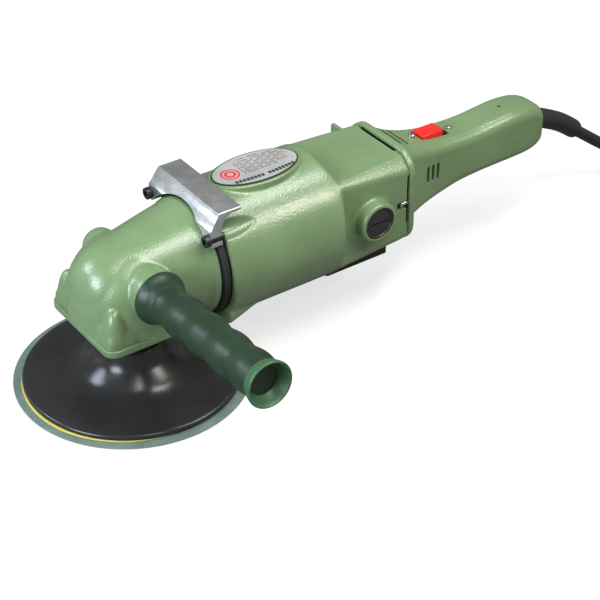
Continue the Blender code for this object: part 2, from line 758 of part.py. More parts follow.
def gear_housing():
    """The painted casting: a tower over the spindle and a neck along the motor's axis."""
    base = COVER_TOP + FIT
    barrel_profile = (
        (0, NECK_REAR),
        (NECK_RIM_RADIUS, NECK_REAR),
        (NECK_RIM_RADIUS, NECK_REAR - NECK_RIM_LENGTH),
        (NECK_RIM_RADIUS - 0.0020, NECK_REAR - NECK_RIM_LENGTH - 0.0035),
        *NECK_PROFILE,
    )
    housing = turned("gear_housing", barrel_profile, on_x(0), segments=32)
    block = upright_block(
        "tower_block",
        (TOWER_INSET - TOWER_FRONT, TOWER_INSET - TOWER_HALF_WIDTH, base),
        (TOWER_REAR - TOWER_INSET, TOWER_HALF_WIDTH - TOWER_INSET, TOWER_BLOCK_TOP),
        TOWER_CORNER,
    )
    dome = turned(
        "tower_dome",
        (
            *((radius, AXIS_HEIGHT + height) for radius, height in DOME_PROFILE),
            (DOME_FOOT_RADIUS, base),
            (0, base),
        ),
        segments=28,
    )
    join(housing, block, dome)
    for number, (x, y) in enumerate(cover_screw_places()):
        profile = (
            (0, COLUMN_TOP),
            (COLUMN_RADIUS * 0.6, COLUMN_TOP - 0.0025),
            (COLUMN_RADIUS, COLUMN_TOP - 0.0100),
            (COLUMN_RADIUS, base + 0.0005),
            (0, base + 0.0005),
        )
        join(housing, turned(f"column_{number}", profile, Matrix.Translation((x, y, 0)), 12))
    boss = rod(
        "handle_boss",
        HANDLE_BOSS_RADIUS,
        (0, -0.020, GRIP_AXIS_Z),
        (0, -HANDLE_BOSS_FACE, GRIP_AXIS_Z),
        20,
    )
    spare = turned(
        "spare_boss",
        (
            (0, SPARE_BOSS_FACE),
            (SPARE_BOSS_RADIUS * 0.62, SPARE_BOSS_FACE - 0.0008),
            (SPARE_BOSS_RADIUS * 0.92, SPARE_BOSS_FACE - 0.0045),
            (SPARE_BOSS_RADIUS, SPARE_BOSS_FACE - 0.0100),
            (SPARE_BOSS_RADIUS, 0.020),
            (0, 0.020),
        ),
        Matrix.Translation((0, 0, GRIP_AXIS_Z)) @ TO_Y,
        segments=16,
    )
    join(housing, boss, spare)
    below = box("below_cover_seam", (-0.080, -0.080, base - 0.040), (TOWER_REAR + 0.005, 0.080, base))
    gear_room = turned(
        "gear_room",
        (
            (0, UPPER_BEARING_Z + UPPER_BEARING[2] + 0.0012),
            (UPPER_BEARING[1] + FIT, UPPER_BEARING_Z + UPPER_BEARING[2] + 0.0012),
            (UPPER_BEARING[1] + FIT, UPPER_BEARING_Z - 0.0010),
            (0.0180, UPPER_BEARING_Z - 0.0010),
            (0.0230, AXIS_HEIGHT + 0.0038),
            (GEAR_ROOM_RADIUS, GEAR_ROOM_TOP),
            (GEAR_ROOM_RADIUS, COVER_BOTTOM),
            (0, COVER_BOTTOM),
        ),
        segments=24,
    )
    seat = FRONT_BEARING[1] + FIT
    neck_bore = turned(
        "neck_bore",
        (
            (0, NECK_REAR + 0.0165),
            (NECK_RIM_RADIUS - 0.0090, NECK_REAR + 0.0165),
            (NECK_RIM_RADIUS - 0.0090, NECK_REAR - 0.0035),
            (seat, FRONT_BEARING_X + FRONT_BEARING[2] + 0.0010),
            (seat, FRONT_BEARING_X - FIT),
            (0.0130, FRONT_BEARING_X - FIT),
            (0.0130, 0.0),
            (0, 0.0),
        ),
        on_x(0),
        segments=24,
    )
    stud_hole = rod(
        "stud_hole",
        STUD_RADIUS + FIT,
        (0, -0.028, GRIP_AXIS_Z),
        (0, -0.060, GRIP_AXIS_Z),
        12,
    )
    cut(housing, below, gear_room, neck_bore, stud_hole)
    for number, (x, y) in enumerate(cover_screw_places()):
        low, high = (x, y, COVER_BOTTOM), (x, y, COVER_TOP + 0.0110)
        cut(housing, rod(f"screw_hole_{number}", SCREW_RADIUS + FIT, low, high, 8))
    return finish(housing, green_paint())


def cover_screw_places():
    inset = COLUMN_RADIUS + TOWER_INSET
    return [
        (x, side * (TOWER_HALF_WIDTH - inset))
        for x in (inset - TOWER_FRONT, TOWER_REAR - inset)
        for side in (-1, 1)
    ]


def gearbox_cover():
    """The plate under the gears, with the lower bearing's seat in its middle."""
    cover = upright_block(
        "gearbox_cover",
        (-TOWER_FRONT, -TOWER_HALF_WIDTH, COVER_BOTTOM),
        (TOWER_REAR, TOWER_HALF_WIDTH, COVER_TOP),
        TOWER_CORNER,
    )
    seat = LOWER_BEARING[1] + FIT
    spigot = rod(
        "cover_spigot",
        GEAR_ROOM_RADIUS - FIT,
        (0, 0, COVER_BOTTOM + 0.002),
        (0, 0, LOWER_BEARING_Z + LOWER_BEARING[2] - 0.003),
        24,
    )
    boss = rod("cover_boss", 0.0250, (0, 0, COVER_BOTTOM - 0.0040), (0, 0, COVER_TOP - 0.002), 24)
    join(cover, spigot, boss)
    bore = turned(
        "cover_bore",
        (
            (0, COVER_TOP + 0.020),
            (seat, COVER_TOP + 0.020),
            (seat, LOWER_BEARING_Z - FIT),
            (SPINDLE_COLLAR_RADIUS + RUNNING, LOWER_BEARING_Z - FIT),
            (SPINDLE_COLLAR_RADIUS + RUNNING, COVER_BOTTOM - 0.015),
            (0, COVER_BOTTOM - 0.015),
        ),
        segments=20,
    )
    cut(cover, bore)
    for number, (x, y) in enumerate(cover_screw_places()):
        low, high = (x, y, COVER_BOTTOM - 0.010), (x, y, COVER_TOP + 0.010)
        cut(cover, rod(f"cover_hole_{number}", SCREW_RADIUS + FIT, low, high, 8))
    return finish(cover, green_paint())


def cover_screws():
    head = SCREW_RADIUS * 1.75
    for number, (x, y) in enumerate(cover_screw_places(), start=1):
        profile = (
            (0, COVER_TOP + 0.0090),
            (SCREW_RADIUS, COVER_TOP + 0.0090),
            (SCREW_RADIUS, COVER_BOTTOM - FIT),
            (head, COVER_BOTTOM - FIT),
            (head, COVER_BOTTOM - 0.0025),
            (0, COVER_BOTTOM - 0.0028),
        )
        screw = turned(f"cover_screw_{number}", profile, Matrix.Translation((x, y, 0)), 10)
        finish(screw, steel())


def bearings():
    bore, outer, width = LOWER_BEARING
    lower = ring(
        "lower_spindle_bearing", bore, outer, LOWER_BEARING_Z, LOWER_BEARING_Z + width, segments=20
    )
    finish(lower, steel())
    bore, outer, width = UPPER_BEARING
    upper = ring(
        "upper_spindle_bearing", bore, outer, UPPER_BEARING_Z, UPPER_BEARING_Z + width, segments=16
    )
    finish(upper, steel())
    bore, outer, width = FRONT_BEARING
    finish(ring("front_motor_bearing", bore, outer, 0, width, on_x(FRONT_BEARING_X), 20), steel())
    bore, outer, width = REAR_BEARING
    finish(ring("rear_motor_bearing", bore, outer, 0, width, on_x(REAR_BEARING_X), 20), steel())


# ---------------------------------------------------------------- strap and saddle


def clamp_strap():
    """A black band in the groove between the two housings."""
    middle = (NECK_REAR + HOUSING_FRONT) / 2
    inner = NECK_RIM_RADIUS - 0.0050
    half = STRAP_WIDTH / 2 - FIT
    outer = NECK_RIM_RADIUS + STRAP_THICKNESS
    strap = ring("clamp_strap", inner, outer, -half, half, on_x(middle), segments=40)
    return finish(strap, black_rubber())


def saddle():
    """A cast clamp over the joint: a flat top, a sloping arched front and two legs."""
    half, top, bottom = SADDLE_HALF_WIDTH, SADDLE_TOP, SADDLE_LEG_BOTTOM
    side = (
        (-half, top),
        (half, top),
        (half + 0.0008, top - 0.0120),
        (half + 0.0022, bottom),
        (half - 0.0060, bottom),
        (-half + 0.0060, bottom),
        (-half - 0.0022, bottom),
        (-half - 0.0008, top - 0.0120),
    )
    depth = SADDLE_REAR - SADDLE_FRONT
    turn = Matrix(((0, 0, 1, 0), (1, 0, 0, 0), (0, 1, 0, 0), (0, 0, 0, 1)))
    where = Matrix.Translation(((SADDLE_FRONT + SADDLE_REAR) / 2, 0, 0)) @ turn
    body = outline("saddle", side, depth, where)
    slope = outline(
        "saddle_front_slope",
        (
            (SADDLE_FRONT - 0.010, top + 0.010),
            (SADDLE_FRONT + 0.0095, top + 0.010),
            (SADDLE_FRONT + 0.0075, top),
            (SADDLE_FRONT, bottom + 0.012),
            (SADDLE_FRONT - 0.010, bottom + 0.012),
        ),
        0.2,
        Matrix.Rotation(math.radians(90), 4, "X"),
    )
    gusset = outline(
        "saddle_leg_back",
        (
            (SADDLE_FRONT + 0.0095, bottom - 0.010),
            (SADDLE_REAR + 0.010, bottom - 0.010),
            (SADDLE_REAR + 0.010, top - SADDLE_PLATE),
            (SADDLE_FRONT + 0.0150, top - SADDLE_PLATE),
            (SADDLE_FRONT + 0.0095, top - 0.0110),
        ),
        0.2,
        Matrix.Rotation(math.radians(90), 4, "X"),
    )
    front_arch = NECK_RIM_RADIUS + STRAP_THICKNESS + FIT
    rear_arch = HOUSING_RADIUS + FIT
    arch = turned(
        "saddle_arch",
        (
            (0, SADDLE_REAR + 0.010),
            (rear_arch, SADDLE_REAR + 0.010),
            (rear_arch, HOUSING_FRONT - FIT),
            (front_arch, HOUSING_FRONT - FIT),
            (front_arch, 0.0),
            (0, 0.0),
        ),
        on_x(0),
        segments=48,
    )
    cut(body, slope, gusset, arch)
    for sign in (-1, 1):
        hole = rod(
            f"saddle_hole_{sign}",
            SADDLE_BOLT_RADIUS + FIT,
            (0.030, sign * SADDLE_BOLT_Y, SADDLE_BOLT_Z),
            (0.080, sign * SADDLE_BOLT_Y, SADDLE_BOLT_Z),
            12,
        )
        cut(body, hole)
    return finish(body, cast_aluminium())


def saddle_bolts():
    head_front = SADDLE_FRONT - 0.0042
    for name, sign in (("left", -1), ("right", 1)):
        bolt = rod(
            f"saddle_bolt_{name}",
            SADDLE_BOLT_RADIUS * 1.6,
            (head_front, sign * SADDLE_BOLT_Y, SADDLE_BOLT_Z),
            (SADDLE_FRONT - FIT, sign * SADDLE_BOLT_Y, SADDLE_BOLT_Z),
            6,
        )
        shank = rod(
            f"bolt_shank_{name}",
            SADDLE_BOLT_RADIUS,
            (head_front + 0.001, sign * SADDLE_BOLT_Y, SADDLE_BOLT_Z),
            (SADDLE_FRONT + 0.0120, sign * SADDLE_BOLT_Y, SADDLE_BOLT_Z),
            12,
        )
        finish(join(bolt, shank), black_plastic())


# ---------------------------------------------------------------- motor housing


def flatted_barrel(name, radius, flat, front, rear, start, full):
    """A cylinder along X whose rear part has four flats cut on it, so that it turns square."""
    rear_radius = radius - HOUSING_RADIUS + HOUSING_REAR_RADIUS
    profile = (
        (0, rear),
        (rear_radius, rear),
        (radius, FLAT_START),
        (radius, front),
        (0, front),
    )
    barrel = turned(name, profile, on_x(0), 48)
    reach = radius + 0.010
    shape = (
        (start, radius + 0.0005),
        (full, flat),
        (rear + 0.005, flat),
        (rear + 0.005, reach),
        (start, reach),
    )
    for quarter in range(4):
        turn = Matrix.Rotation(math.radians(90 * quarter), 4, "X") @ Matrix.Rotation(math.radians(90), 4, "X")
        wedge = outline(f"{name}_flat_{quarter}", shape, 0.2, Matrix.Translation(MOTOR_AXIS) @ turn)
        cut(barrel, wedge)
    return barrel


def around_axis(angle, radius, x):
    """The point at a radius from the motor's axis, in a direction counted from +Y towards +Z."""
    turn = math.radians(angle)
    return MOTOR_AXIS + Vector((x, radius * math.cos(turn), radius * math.sin(turn)))


def fixing_lug(angle):
    """A tapered lug outside the housing's front, around one of its lower fixing screws."""
    start = around_axis(angle, HOUSING_RADIUS - LUG_SINK, HOUSING_FRONT)
    end = around_axis(angle, HOUSING_RADIUS - 2 * LUG_SINK, HOUSING_FRONT + LUG_LENGTH)
    return rod(f"housing_lug_{angle}", LUG_RADIUS, start, end, 16, end_radius=LUG_RADIUS * 0.4)


def fixing_scoop(angle):
    """A shallow tapered scoop in the housing's front, over one of its upper fixing screws."""
    start = around_axis(angle, HOUSING_RADIUS + SCOOP_LIFT, HOUSING_FRONT - 0.001)
    end = around_axis(angle, HOUSING_RADIUS + SCOOP_LIFT, HOUSING_FRONT + SCOOP_LENGTH)
    return rod(f"housing_scoop_{angle}", SCOOP_RADIUS, start, end, 16, end_radius=SCOOP_RADIUS * 0.6)


def motor_housing():
    housing = flatted_barrel(
        "motor_housing", HOUSING_RADIUS, FLAT_HALF_WIDTH, HOUSING_FRONT, HOUSING_REAR, FLAT_START, FLAT_FULL
    )
    for angle in (225, 315):
        join(housing, fixing_lug(angle))
    for sign in (-1, 1):
        boss = rod(
            f"brush_boss_{sign}",
            BOSS_RADIUS,
            (BRUSH_X, sign * (FLAT_HALF_WIDTH - 0.003), AXIS_HEIGHT),
            (BRUSH_X, sign * BOSS_FACE, AXIS_HEIGHT),
            32,
        )
        join(housing, boss)
    seat_height = 0.0300
    seat_bottom = AXIS_HEIGHT + HOUSING_RADIUS + PLATE_SEAT_RISE - seat_height
    seat = plate_outline("plate_seat", PLATE_SEAT_MARGIN, seat_height, seat_bottom)
    join(housing, seat)
    wall = HOUSING_WALL
    cavity = flatted_barrel(
        "motor_room",
        HOUSING_RADIUS - wall,
        FLAT_HALF_WIDTH - wall,
        HOUSING_FRONT - 0.001,
        HOUSING_REAR + 0.001,
        FLAT_START - wall,
        FLAT_FULL - wall,
    )
    cut(housing, cavity)
    for angle in (45, 135):
        cut(housing, fixing_scoop(angle))
    for sign in (-1, 1):
        bore = rod(
            f"holder_bore_{sign}",
            HOLDER_RADIUS + FIT,
            (BRUSH_X, sign * 0.030, AXIS_HEIGHT),
            (BRUSH_X, sign * 0.060, AXIS_HEIGHT),
            24,
        )
        recess = rod(
            f"cap_recess_{sign}",
            CAP_RADIUS + FIT,
            (BRUSH_X, sign * (HOLDER_END + FIT), AXIS_HEIGHT),
            (BRUSH_X, sign * 0.060, AXIS_HEIGHT),
            24,
        )
        cut(housing, bore, recess)
    for name, low, high in housing_openings():
        cut(housing, box(name, low, high))
    return finish(housing, green_paint())


def housing_openings():
    """The air slots at the housing's rear edge, and the notches over the handle's screws."""
    slot, behind = HOUSING_REAR - AIR_SLOT, HOUSING_REAR + 0.002
    inside, outside = FLAT_HALF_WIDTH - 0.009, FLAT_HALF_WIDTH + 0.021
    notch = HOUSING_REAR - NOTCH_LENGTH
    notch_inside = HANDLE_SCREW_Y - NOTCH_HEIGHT / 2
    notch_low, notch_high = AXIS_HEIGHT - NOTCH_HEIGHT / 2, AXIS_HEIGHT + NOTCH_HEIGHT / 2
    side_low, side_high = AIR_SLOT_SIDE
    top_low = (slot, AIR_SLOT_TOP[0], AXIS_HEIGHT + inside)
    yield "air_slot_top", top_low, (behind, AIR_SLOT_TOP[1], AXIS_HEIGHT + outside)
    yield "air_slot_left", (slot, -outside, side_low), (behind, -inside, side_high)
    yield "air_slot_right", (slot, inside, side_low), (behind, outside, side_high)
    yield "notch_left", (notch, -outside, notch_low), (behind, -notch_inside, notch_high)
    yield "notch_right", (notch, notch_inside, notch_low), (behind, outside, notch_high)


def handle_screws():
    """The two screws that hold the rear handle, with their heads in the housing's notches."""
    head = HANDLE_SCREW_RADIUS * 1.45
    seat = HOUSING_REAR - 0.0055
    for name, sign in (("left", -1), ("right", 1)):
        profile = (
            (0, FLANGE_REAR - FIT),
            (HANDLE_SCREW_RADIUS, FLANGE_REAR - FIT),
            (HANDLE_SCREW_RADIUS, seat),
            (head, seat),
            (head, seat - 0.0012),
            (head * 0.6, seat - 0.0018),
            (0, seat - 0.0019),
        )
        where = Matrix.Translation((0, sign * HANDLE_SCREW_Y, AXIS_HEIGHT)) @ TO_X
        finish(turned(f"handle_screw_{name}", profile, where, 12), steel())


def plate_outline(name, margin, thickness, bottom):
    """An oval slab on the motor housing's top, larger than the nameplate by a margin."""
    points = []
    for step in range(32):
        angle = 2 * math.pi * step / 32
        x = (PLATE_HALF_LENGTH + margin) * math.cos(angle)
        y = (PLATE_HALF_WIDTH + margin) * math.sin(angle)
        points.append((x, y))
    where = Matrix.Translation((PLATE_CENTRE_X, 0, bottom + thickness / 2))
    return outline(name, points, thickness, where)


def nameplate():
    top = AXIS_HEIGHT + HOUSING_RADIUS + PLATE_SEAT_RISE
    return finish(plate_outline("nameplate", 0.0, PLATE_THICKNESS, top + FIT), cast_aluminium())


def foot_strip():
    low = (FLAT_FULL, -FOOT_WIDTH / 2, FOOT_BOTTOM)
    high = (FLAT_FULL + FOOT_LENGTH, FOOT_WIDTH / 2, AXIS_HEIGHT - FLAT_HALF_WIDTH - FIT)
    strip = box("foot_strip", low, high)
    slope = flatted_barrel(
        "foot_seat",
        HOUSING_RADIUS + FIT,
        FLAT_HALF_WIDTH + FIT,
        FLAT_START - 0.007,
        HOUSING_REAR + 0.020,
        FLAT_START,
        FLAT_FULL,
    )
    cut(strip, slope)
    return finish(strip, black_rubber())


# ---------------------------------------------------------------- motor


def stator():
    half = STATOR_LENGTH / 2
    outer = HOUSING_RADIUS - HOUSING_WALL - FIT
    core = ring("stator_core", STATOR_BORE_RADIUS, outer, -half, half, on_x(STATOR_CENTRE_X), 28)
    finish(core, laminated_steel())
    inner, outer = COIL_RADII
    for name, start in (("front", -half - FIT - COIL_LENGTH), ("rear", half + FIT)):
        end = start + COIL_LENGTH
        coil = ring(f"field_coil_{name}", inner, outer, start, end, on_x(STATOR_CENTRE_X), 24)
        finish(coil, copper())


def armature():
    half = STATOR_LENGTH / 2 + 0.0020
    bore = SHAFT_RADIUS + FIT
    winding = ARMATURE_RADIUS - 0.0040
    profile = (
        (bore, half + 0.0100),
        (winding - 0.003, half + 0.0100),
        (winding, half + 0.0070),
        (winding, half),
        (ARMATURE_RADIUS, half),
        (ARMATURE_RADIUS, -half),
        (winding, -half),
        (winding, -half - 0.0070),
        (winding - 0.003, -half - 0.0100),
        (bore, -half - 0.0100),
    )
    core = turned("armature_core", profile, on_x(STATOR_CENTRE_X), segments=20)
    finish(core, laminated_steel())
    front_journal = FRONT_BEARING[0] - FIT
    rear_journal = REAR_BEARING[0] - FIT
    front_end = FRONT_BEARING_X + FRONT_BEARING[2] + 0.0010
    rear_start = REAR_BEARING_X - 0.0005
    profile = (
        (0, REAR_BEARING_X + REAR_BEARING[2]),
        (rear_journal, REAR_BEARING_X + REAR_BEARING[2]),
        (rear_journal, rear_start),
        (SHAFT_RADIUS, rear_start),
        (SHAFT_RADIUS, front_end),
        (front_journal, front_end),
        (front_journal, PINION_BACK + FIT),
        (SHAFT_TIP_RADIUS, PINION_BACK + FIT),
        (SHAFT_TIP_RADIUS, SHAFT_TIP),
        (0, SHAFT_TIP),
    )
    finish(turned("armature_shaft", profile, on_x(0), segments=14), steel())
    commutator = ring(
        "commutator",
        bore,
        COMMUTATOR_RADIUS,
        -COMMUTATOR_LENGTH / 2,
        COMMUTATOR_LENGTH / 2,
        on_x(BRUSH_X),
        20,
    )
    finish(commutator, copper())


def fan():
    """The cooling fan: a back plate, a hub and straight blades."""
    start = HOUSING_FRONT + 0.0025
    bore = SHAFT_RADIUS + FIT
    profile = (
        (bore, FAN_WIDTH),
        (FAN_RADIUS, FAN_WIDTH),
        (FAN_RADIUS, FAN_WIDTH - 0.0020),
        (0.0120, FAN_WIDTH - 0.0020),
        (0.0120, 0),
        (bore, 0),
    )
    wheel = turned("fan", profile, on_x(start), segments=27)

    def build(work):
        for i in range(FAN_BLADES):
            made = bmesh.ops.create_cube(work, size=1.0)["verts"]
            size = (FAN_WIDTH - 0.0015, 0.0016, FAN_RADIUS - 0.0125)
            bmesh.ops.scale(work, vec=size, verts=made)
            lift = ((FAN_WIDTH - 0.0015) / 2 + 0.0005, 0, (FAN_RADIUS + 0.0105) / 2)
            bmesh.ops.translate(work, vec=lift, verts=made)
            turn = Matrix.Rotation(2 * math.pi * i / FAN_BLADES, 3, "X")
            bmesh.ops.rotate(work, cent=(0, 0, 0), matrix=turn, verts=made)

    where = Matrix.Translation(MOTOR_AXIS + Vector((start, 0, 0)))
    blades = place("fan_blades", mesh_from("fan_blades", build), where)
    return finish(join(wheel, blades), black_plastic())


def rear_bearing_bracket():
    """The bridge across the motor housing's rear that holds the armature's rear bearing."""
    half = FLAT_HALF_WIDTH - HOUSING_WALL - FIT
    low = (REAR_BEARING_X - 0.0010, -half, AXIS_HEIGHT - 0.0130)
    high = (REAR_BEARING_X + REAR_BEARING[2] + 0.0010, half, AXIS_HEIGHT + 0.0130)
    bracket = box("rear_bearing_bracket", low, high)
    hub = ring("bracket_hub", 0.0100, 0.0180, 0, high[0] - low[0], on_x(low[0]), 20)
    bore = rod(
        "bracket_bore",
        REAR_BEARING[1] + FIT,
        MOTOR_AXIS + Vector((low[0] - 0.01, 0, 0)),
        MOTOR_AXIS + Vector((high[0] + 0.01, 0, 0)),
        20,
    )
    return finish(cut(join(bracket, hub), bore), cast_aluminium())


# ---------------------------------------------------------------- brushes


def brush_gear(name, sign):
    """One brush with its holder, spring and screw cap, on the side that sign gives."""
    centre = Vector((BRUSH_X, 0, AXIS_HEIGHT))
    turn = TO_Y if sign > 0 else TO_Y @ Matrix.Rotation(math.pi, 4, "X")
    outwards = Matrix.Translation(centre) @ turn
    width, length, height = BRUSH_SIZE
    start = COMMUTATOR_RADIUS + FIT
    clear = 0.0004
    profile = (
        (0, HOLDER_END),
        (HOLDER_RADIUS, HOLDER_END),
        (HOLDER_RADIUS, HOLDER_START),
        (0, HOLDER_START),
    )
    holder = turned(f"brush_holder_{name}", profile, outwards, 16)
    window = box(
        f"brush_window_{name}",
        (BRUSH_X - width / 2 - clear, min(0, sign * 0.08), AXIS_HEIGHT - height / 2 - clear),
        (BRUSH_X + width / 2 + clear, max(0, sign * 0.08), AXIS_HEIGHT + height / 2 + clear),
    )
    cut(holder, window)
    finish(holder, material("brass", (0.78, 0.60, 0.25), 0.35, 1.0))
    near, far = sorted((sign * start, sign * (start + length)))
    brush = box(
        f"carbon_brush_{name}",
        (BRUSH_X - width / 2, near, AXIS_HEIGHT - height / 2),
        (BRUSH_X + width / 2, far, AXIS_HEIGHT + height / 2),
    )
    finish(brush, material("carbon", (0.02, 0.02, 0.02), 0.6))
    spring_start = start + length + FIT + 0.0005
    spring_end = HOLDER_END + FIT - 0.0008
    turns, per_turn, coil_radius = 4, 8, 0.0023
    points = []
    for i in range(turns * per_turn + 1):
        angle = 2 * math.pi * i / per_turn
        along = spring_start + (spring_end - spring_start) * i / (turns * per_turn)
        across, up = coil_radius * math.cos(angle), coil_radius * math.sin(angle)
        points.append((BRUSH_X + across, sign * along, AXIS_HEIGHT + up))
    finish(tube(f"brush_spring_{name}", points, 0.0004, sides=0), steel())
    cap_start = HOLDER_END + 2 * FIT
    cap_face = BOSS_FACE - 0.0005
    profile = (
        (0, cap_face - 0.0012),
        (CAP_RADIUS * 0.52, cap_face - 0.0012),
        (CAP_RADIUS * 0.60, cap_face - 0.0003),
        (CAP_RADIUS * 0.74, cap_face - 0.0003),
        (CAP_RADIUS * 0.78, cap_face - 0.0010),
        (CAP_RADIUS * 0.84, cap_face - 0.0010),
        (CAP_RADIUS * 0.90, cap_face),
        (CAP_RADIUS, cap_face - 0.0006),
        (CAP_RADIUS, cap_start),
        (0, cap_start),
    )
    cap = turned(f"brush_cap_{name}", profile, outwards, 20)
    slot_low, slot_high = sorted((sign * (cap_face - 0.0022), sign * (cap_face + 0.002)))
    slot = box(
        f"cap_slot_{name}",
        (BRUSH_X - CAP_RADIUS * 0.5, slot_low, AXIS_HEIGHT - 0.0009),
        (BRUSH_X + CAP_RADIUS * 0.5, slot_high, AXIS_HEIGHT + 0.0009),
    )
    finish(cut(cap, slot), black_plastic())


# ---------------------------------------------------------------- rear handle

# Each section from front to tail: distance behind the flange, half width, bottom and top
# measured from the motor's axis, and corner radius
HANDLE_SHAPE = (
    (-0.0020, 0.0310, -0.0342, 0.0401, 0.0120),
    (0.0050, 0.0270, -0.0327, 0.0378, 0.0105),
    (0.0110, 0.0235, -0.0311, 0.0353, 0.0095),
    (0.0200, 0.0215, -0.0284, 0.0323, 0.0090),
    (0.0300, 0.0202, -0.0255, 0.0298, 0.0090),
    (0.0450, 0.0195, -0.0217, 0.0271, 0.0090),
    (0.0650, 0.0189, -0.0179, 0.0261, 0.0090),
    (0.0850, 0.0186, -0.0165, 0.0261, 0.0090),
    (0.1050, 0.0187, -0.0159, 0.0277, 0.0090),
    (0.1210, 0.0187, -0.0156, 0.0288, 0.0090),
    (0.1370, 0.0181, -0.0153, 0.0280, 0.0090),
    (0.1470, 0.0169, -0.0142, 0.0255, 0.0090),
    (0.1535, 0.0150, -0.0119, 0.0218, 0.0090),
    (0.1560, 0.0126, -0.0082, 0.0183, 0.0090),
)
HANDLE_SECTIONS = tuple(
    (FLANGE_REAR + x, half, AXIS_HEIGHT + bottom, AXIS_HEIGHT + top, corner)
    for x, half, bottom, top, corner in HANDLE_SHAPE
)
TAIL_X = HANDLE_SECTIONS[-1][0]


def handle_skin(name, inset):
    places = list(HANDLE_SECTIONS)
    if inset:
        places = [place for place in places if place[0] < TAIL_X - inset]
        places[0] = (FLANGE_FRONT - inset, *HANDLE_SECTIONS[0][1:])
        places.append((TAIL_X - inset, *HANDLE_SECTIONS[-1][1:]))
    return loft(
        name,
        [
            rounded_section(x, half_width - inset, bottom + inset, top - inset, corner - inset)
            for x, half_width, bottom, top, corner in places
        ],
    )


def rear_handle():
    """The upper shell of the rear handle with its square flange."""
    handle = handle_skin("rear_handle", 0.0)
    beyond = TAIL_X + 0.060
    below = box("below_split", (FLANGE_REAR + FIT, -0.1, 0.0), (beyond, 0.1, HANDLE_SPLIT_Z + FIT / 2))
    cut(handle, below)
    flange = upright_block(
        "flange_block",
        (-(FLANGE_TOP - AXIS_HEIGHT), -FLANGE_HALF_WIDTH, FLANGE_FRONT),
        (AXIS_HEIGHT - FLANGE_BOTTOM, FLANGE_HALF_WIDTH, FLANGE_REAR),
        FLANGE_CORNER,
    )
    flange.matrix_world = on_x(0) @ flange.matrix_world
    join(handle, flange)
    cut(handle, handle_skin("handle_room", HANDLE_WALL))
    opening = box(
        "switch_opening",
        (SWITCH_FRONT - SWITCH_CLEARANCE, -SWITCH_WIDTH / 2 - 0.0006, SWITCH_BODY_TOP - 0.010),
        (
            SWITCH_FRONT + SWITCH_LENGTH + SWITCH_TRAVEL + SWITCH_CLEARANCE,
            SWITCH_WIDTH / 2 + 0.0006,
            SWITCH_TOP + 0.020,
        ),
    )
    cut(handle, opening)
    start, after = Vector(ROUTE_OUT[0]), Vector(ROUTE_OUT[1])
    out = (after - start).normalized() * 0.020
    cut(handle, rod("sleeve_hole", SLEEVE_RADIUS + RUNNING, start - out, start + out, 20))
    screw_holes = [(x, SCREW_RADIUS + FIT) for x in switch_screw_places()]
    for number, (x, radius) in enumerate((*screw_holes, (TAIL_HOLE_X, TAIL_HOLE_RADIUS))):
        top = handle_top(x)
        cut(handle, rod(f"top_hole_{number}", radius, (x, 0, top - 0.012), (x, 0, top + 0.012), 10))
    for sign in (-1, 1):
        y = sign * HANDLE_SCREW_Y
        low, high = (FLANGE_FRONT - 0.002, y, AXIS_HEIGHT), (FLANGE_REAR + 0.002, y, AXIS_HEIGHT)
        cut(handle, rod(f"flange_hole_{sign}", HANDLE_SCREW_RADIUS + FIT, low, high, 10))
    return finish(cut(handle, *vents()), green_paint())


def vents():
    """Cutters for the upright vents in the handle's sides and the cross vents in its top."""
    low, high = VENT_HEIGHTS
    for number in range(3):
        x = VENT_START + number * VENT_PITCH
        for side, (near, far) in (("left", (-0.040, -0.014)), ("right", (0.014, 0.040))):
            yield box(f"vent_{side}_{number}", (x, near, low), (x + VENT_WIDTH, far, high))
    for number in range(2):
        x = TOP_VENT_START + number * TOP_VENT_PITCH
        top = handle_top(x)
        yield box(
            f"top_vent_{number}",
            (x, -TOP_VENT_HALF_LENGTH, top - 0.012),
            (x + TOP_VENT_WIDTH, TOP_VENT_HALF_LENGTH, top + 0.015),
        )


def handle_cover():
    """The lower shell of the rear handle."""
    cover = handle_skin("handle_cover", 0.0)
    before, beyond, top = FLANGE_FRONT - 0.030, TAIL_X + 0.060, AXIS_HEIGHT + 0.100
    above = box("above_split", (before, -0.1, HANDLE_SPLIT_Z - FIT / 2), (beyond, 0.1, top))
    front = box("before_flange", (before, -0.1, 0.0), (FLANGE_REAR + FIT, 0.1, top))
    cut(cover, above, front, handle_skin("cover_room", HANDLE_WALL))
    return finish(cover, green_paint())


def switch_screw_places():
    return (SWITCH_FRONT - 0.0055, SWITCH_FRONT + SWITCH_LENGTH + SWITCH_TRAVEL + 0.0065)


def handle_top(x):
    """Height of the handle's top at x."""
    for (x0, _, _, top0, _), (x1, _, _, top1, _) in zip(HANDLE_SECTIONS, HANDLE_SECTIONS[1:]):
        if x0 <= x <= x1:
            return top0 + (top1 - top0) * (x - x0) / (x1 - x0)
    return HANDLE_SECTIONS[-1][3]


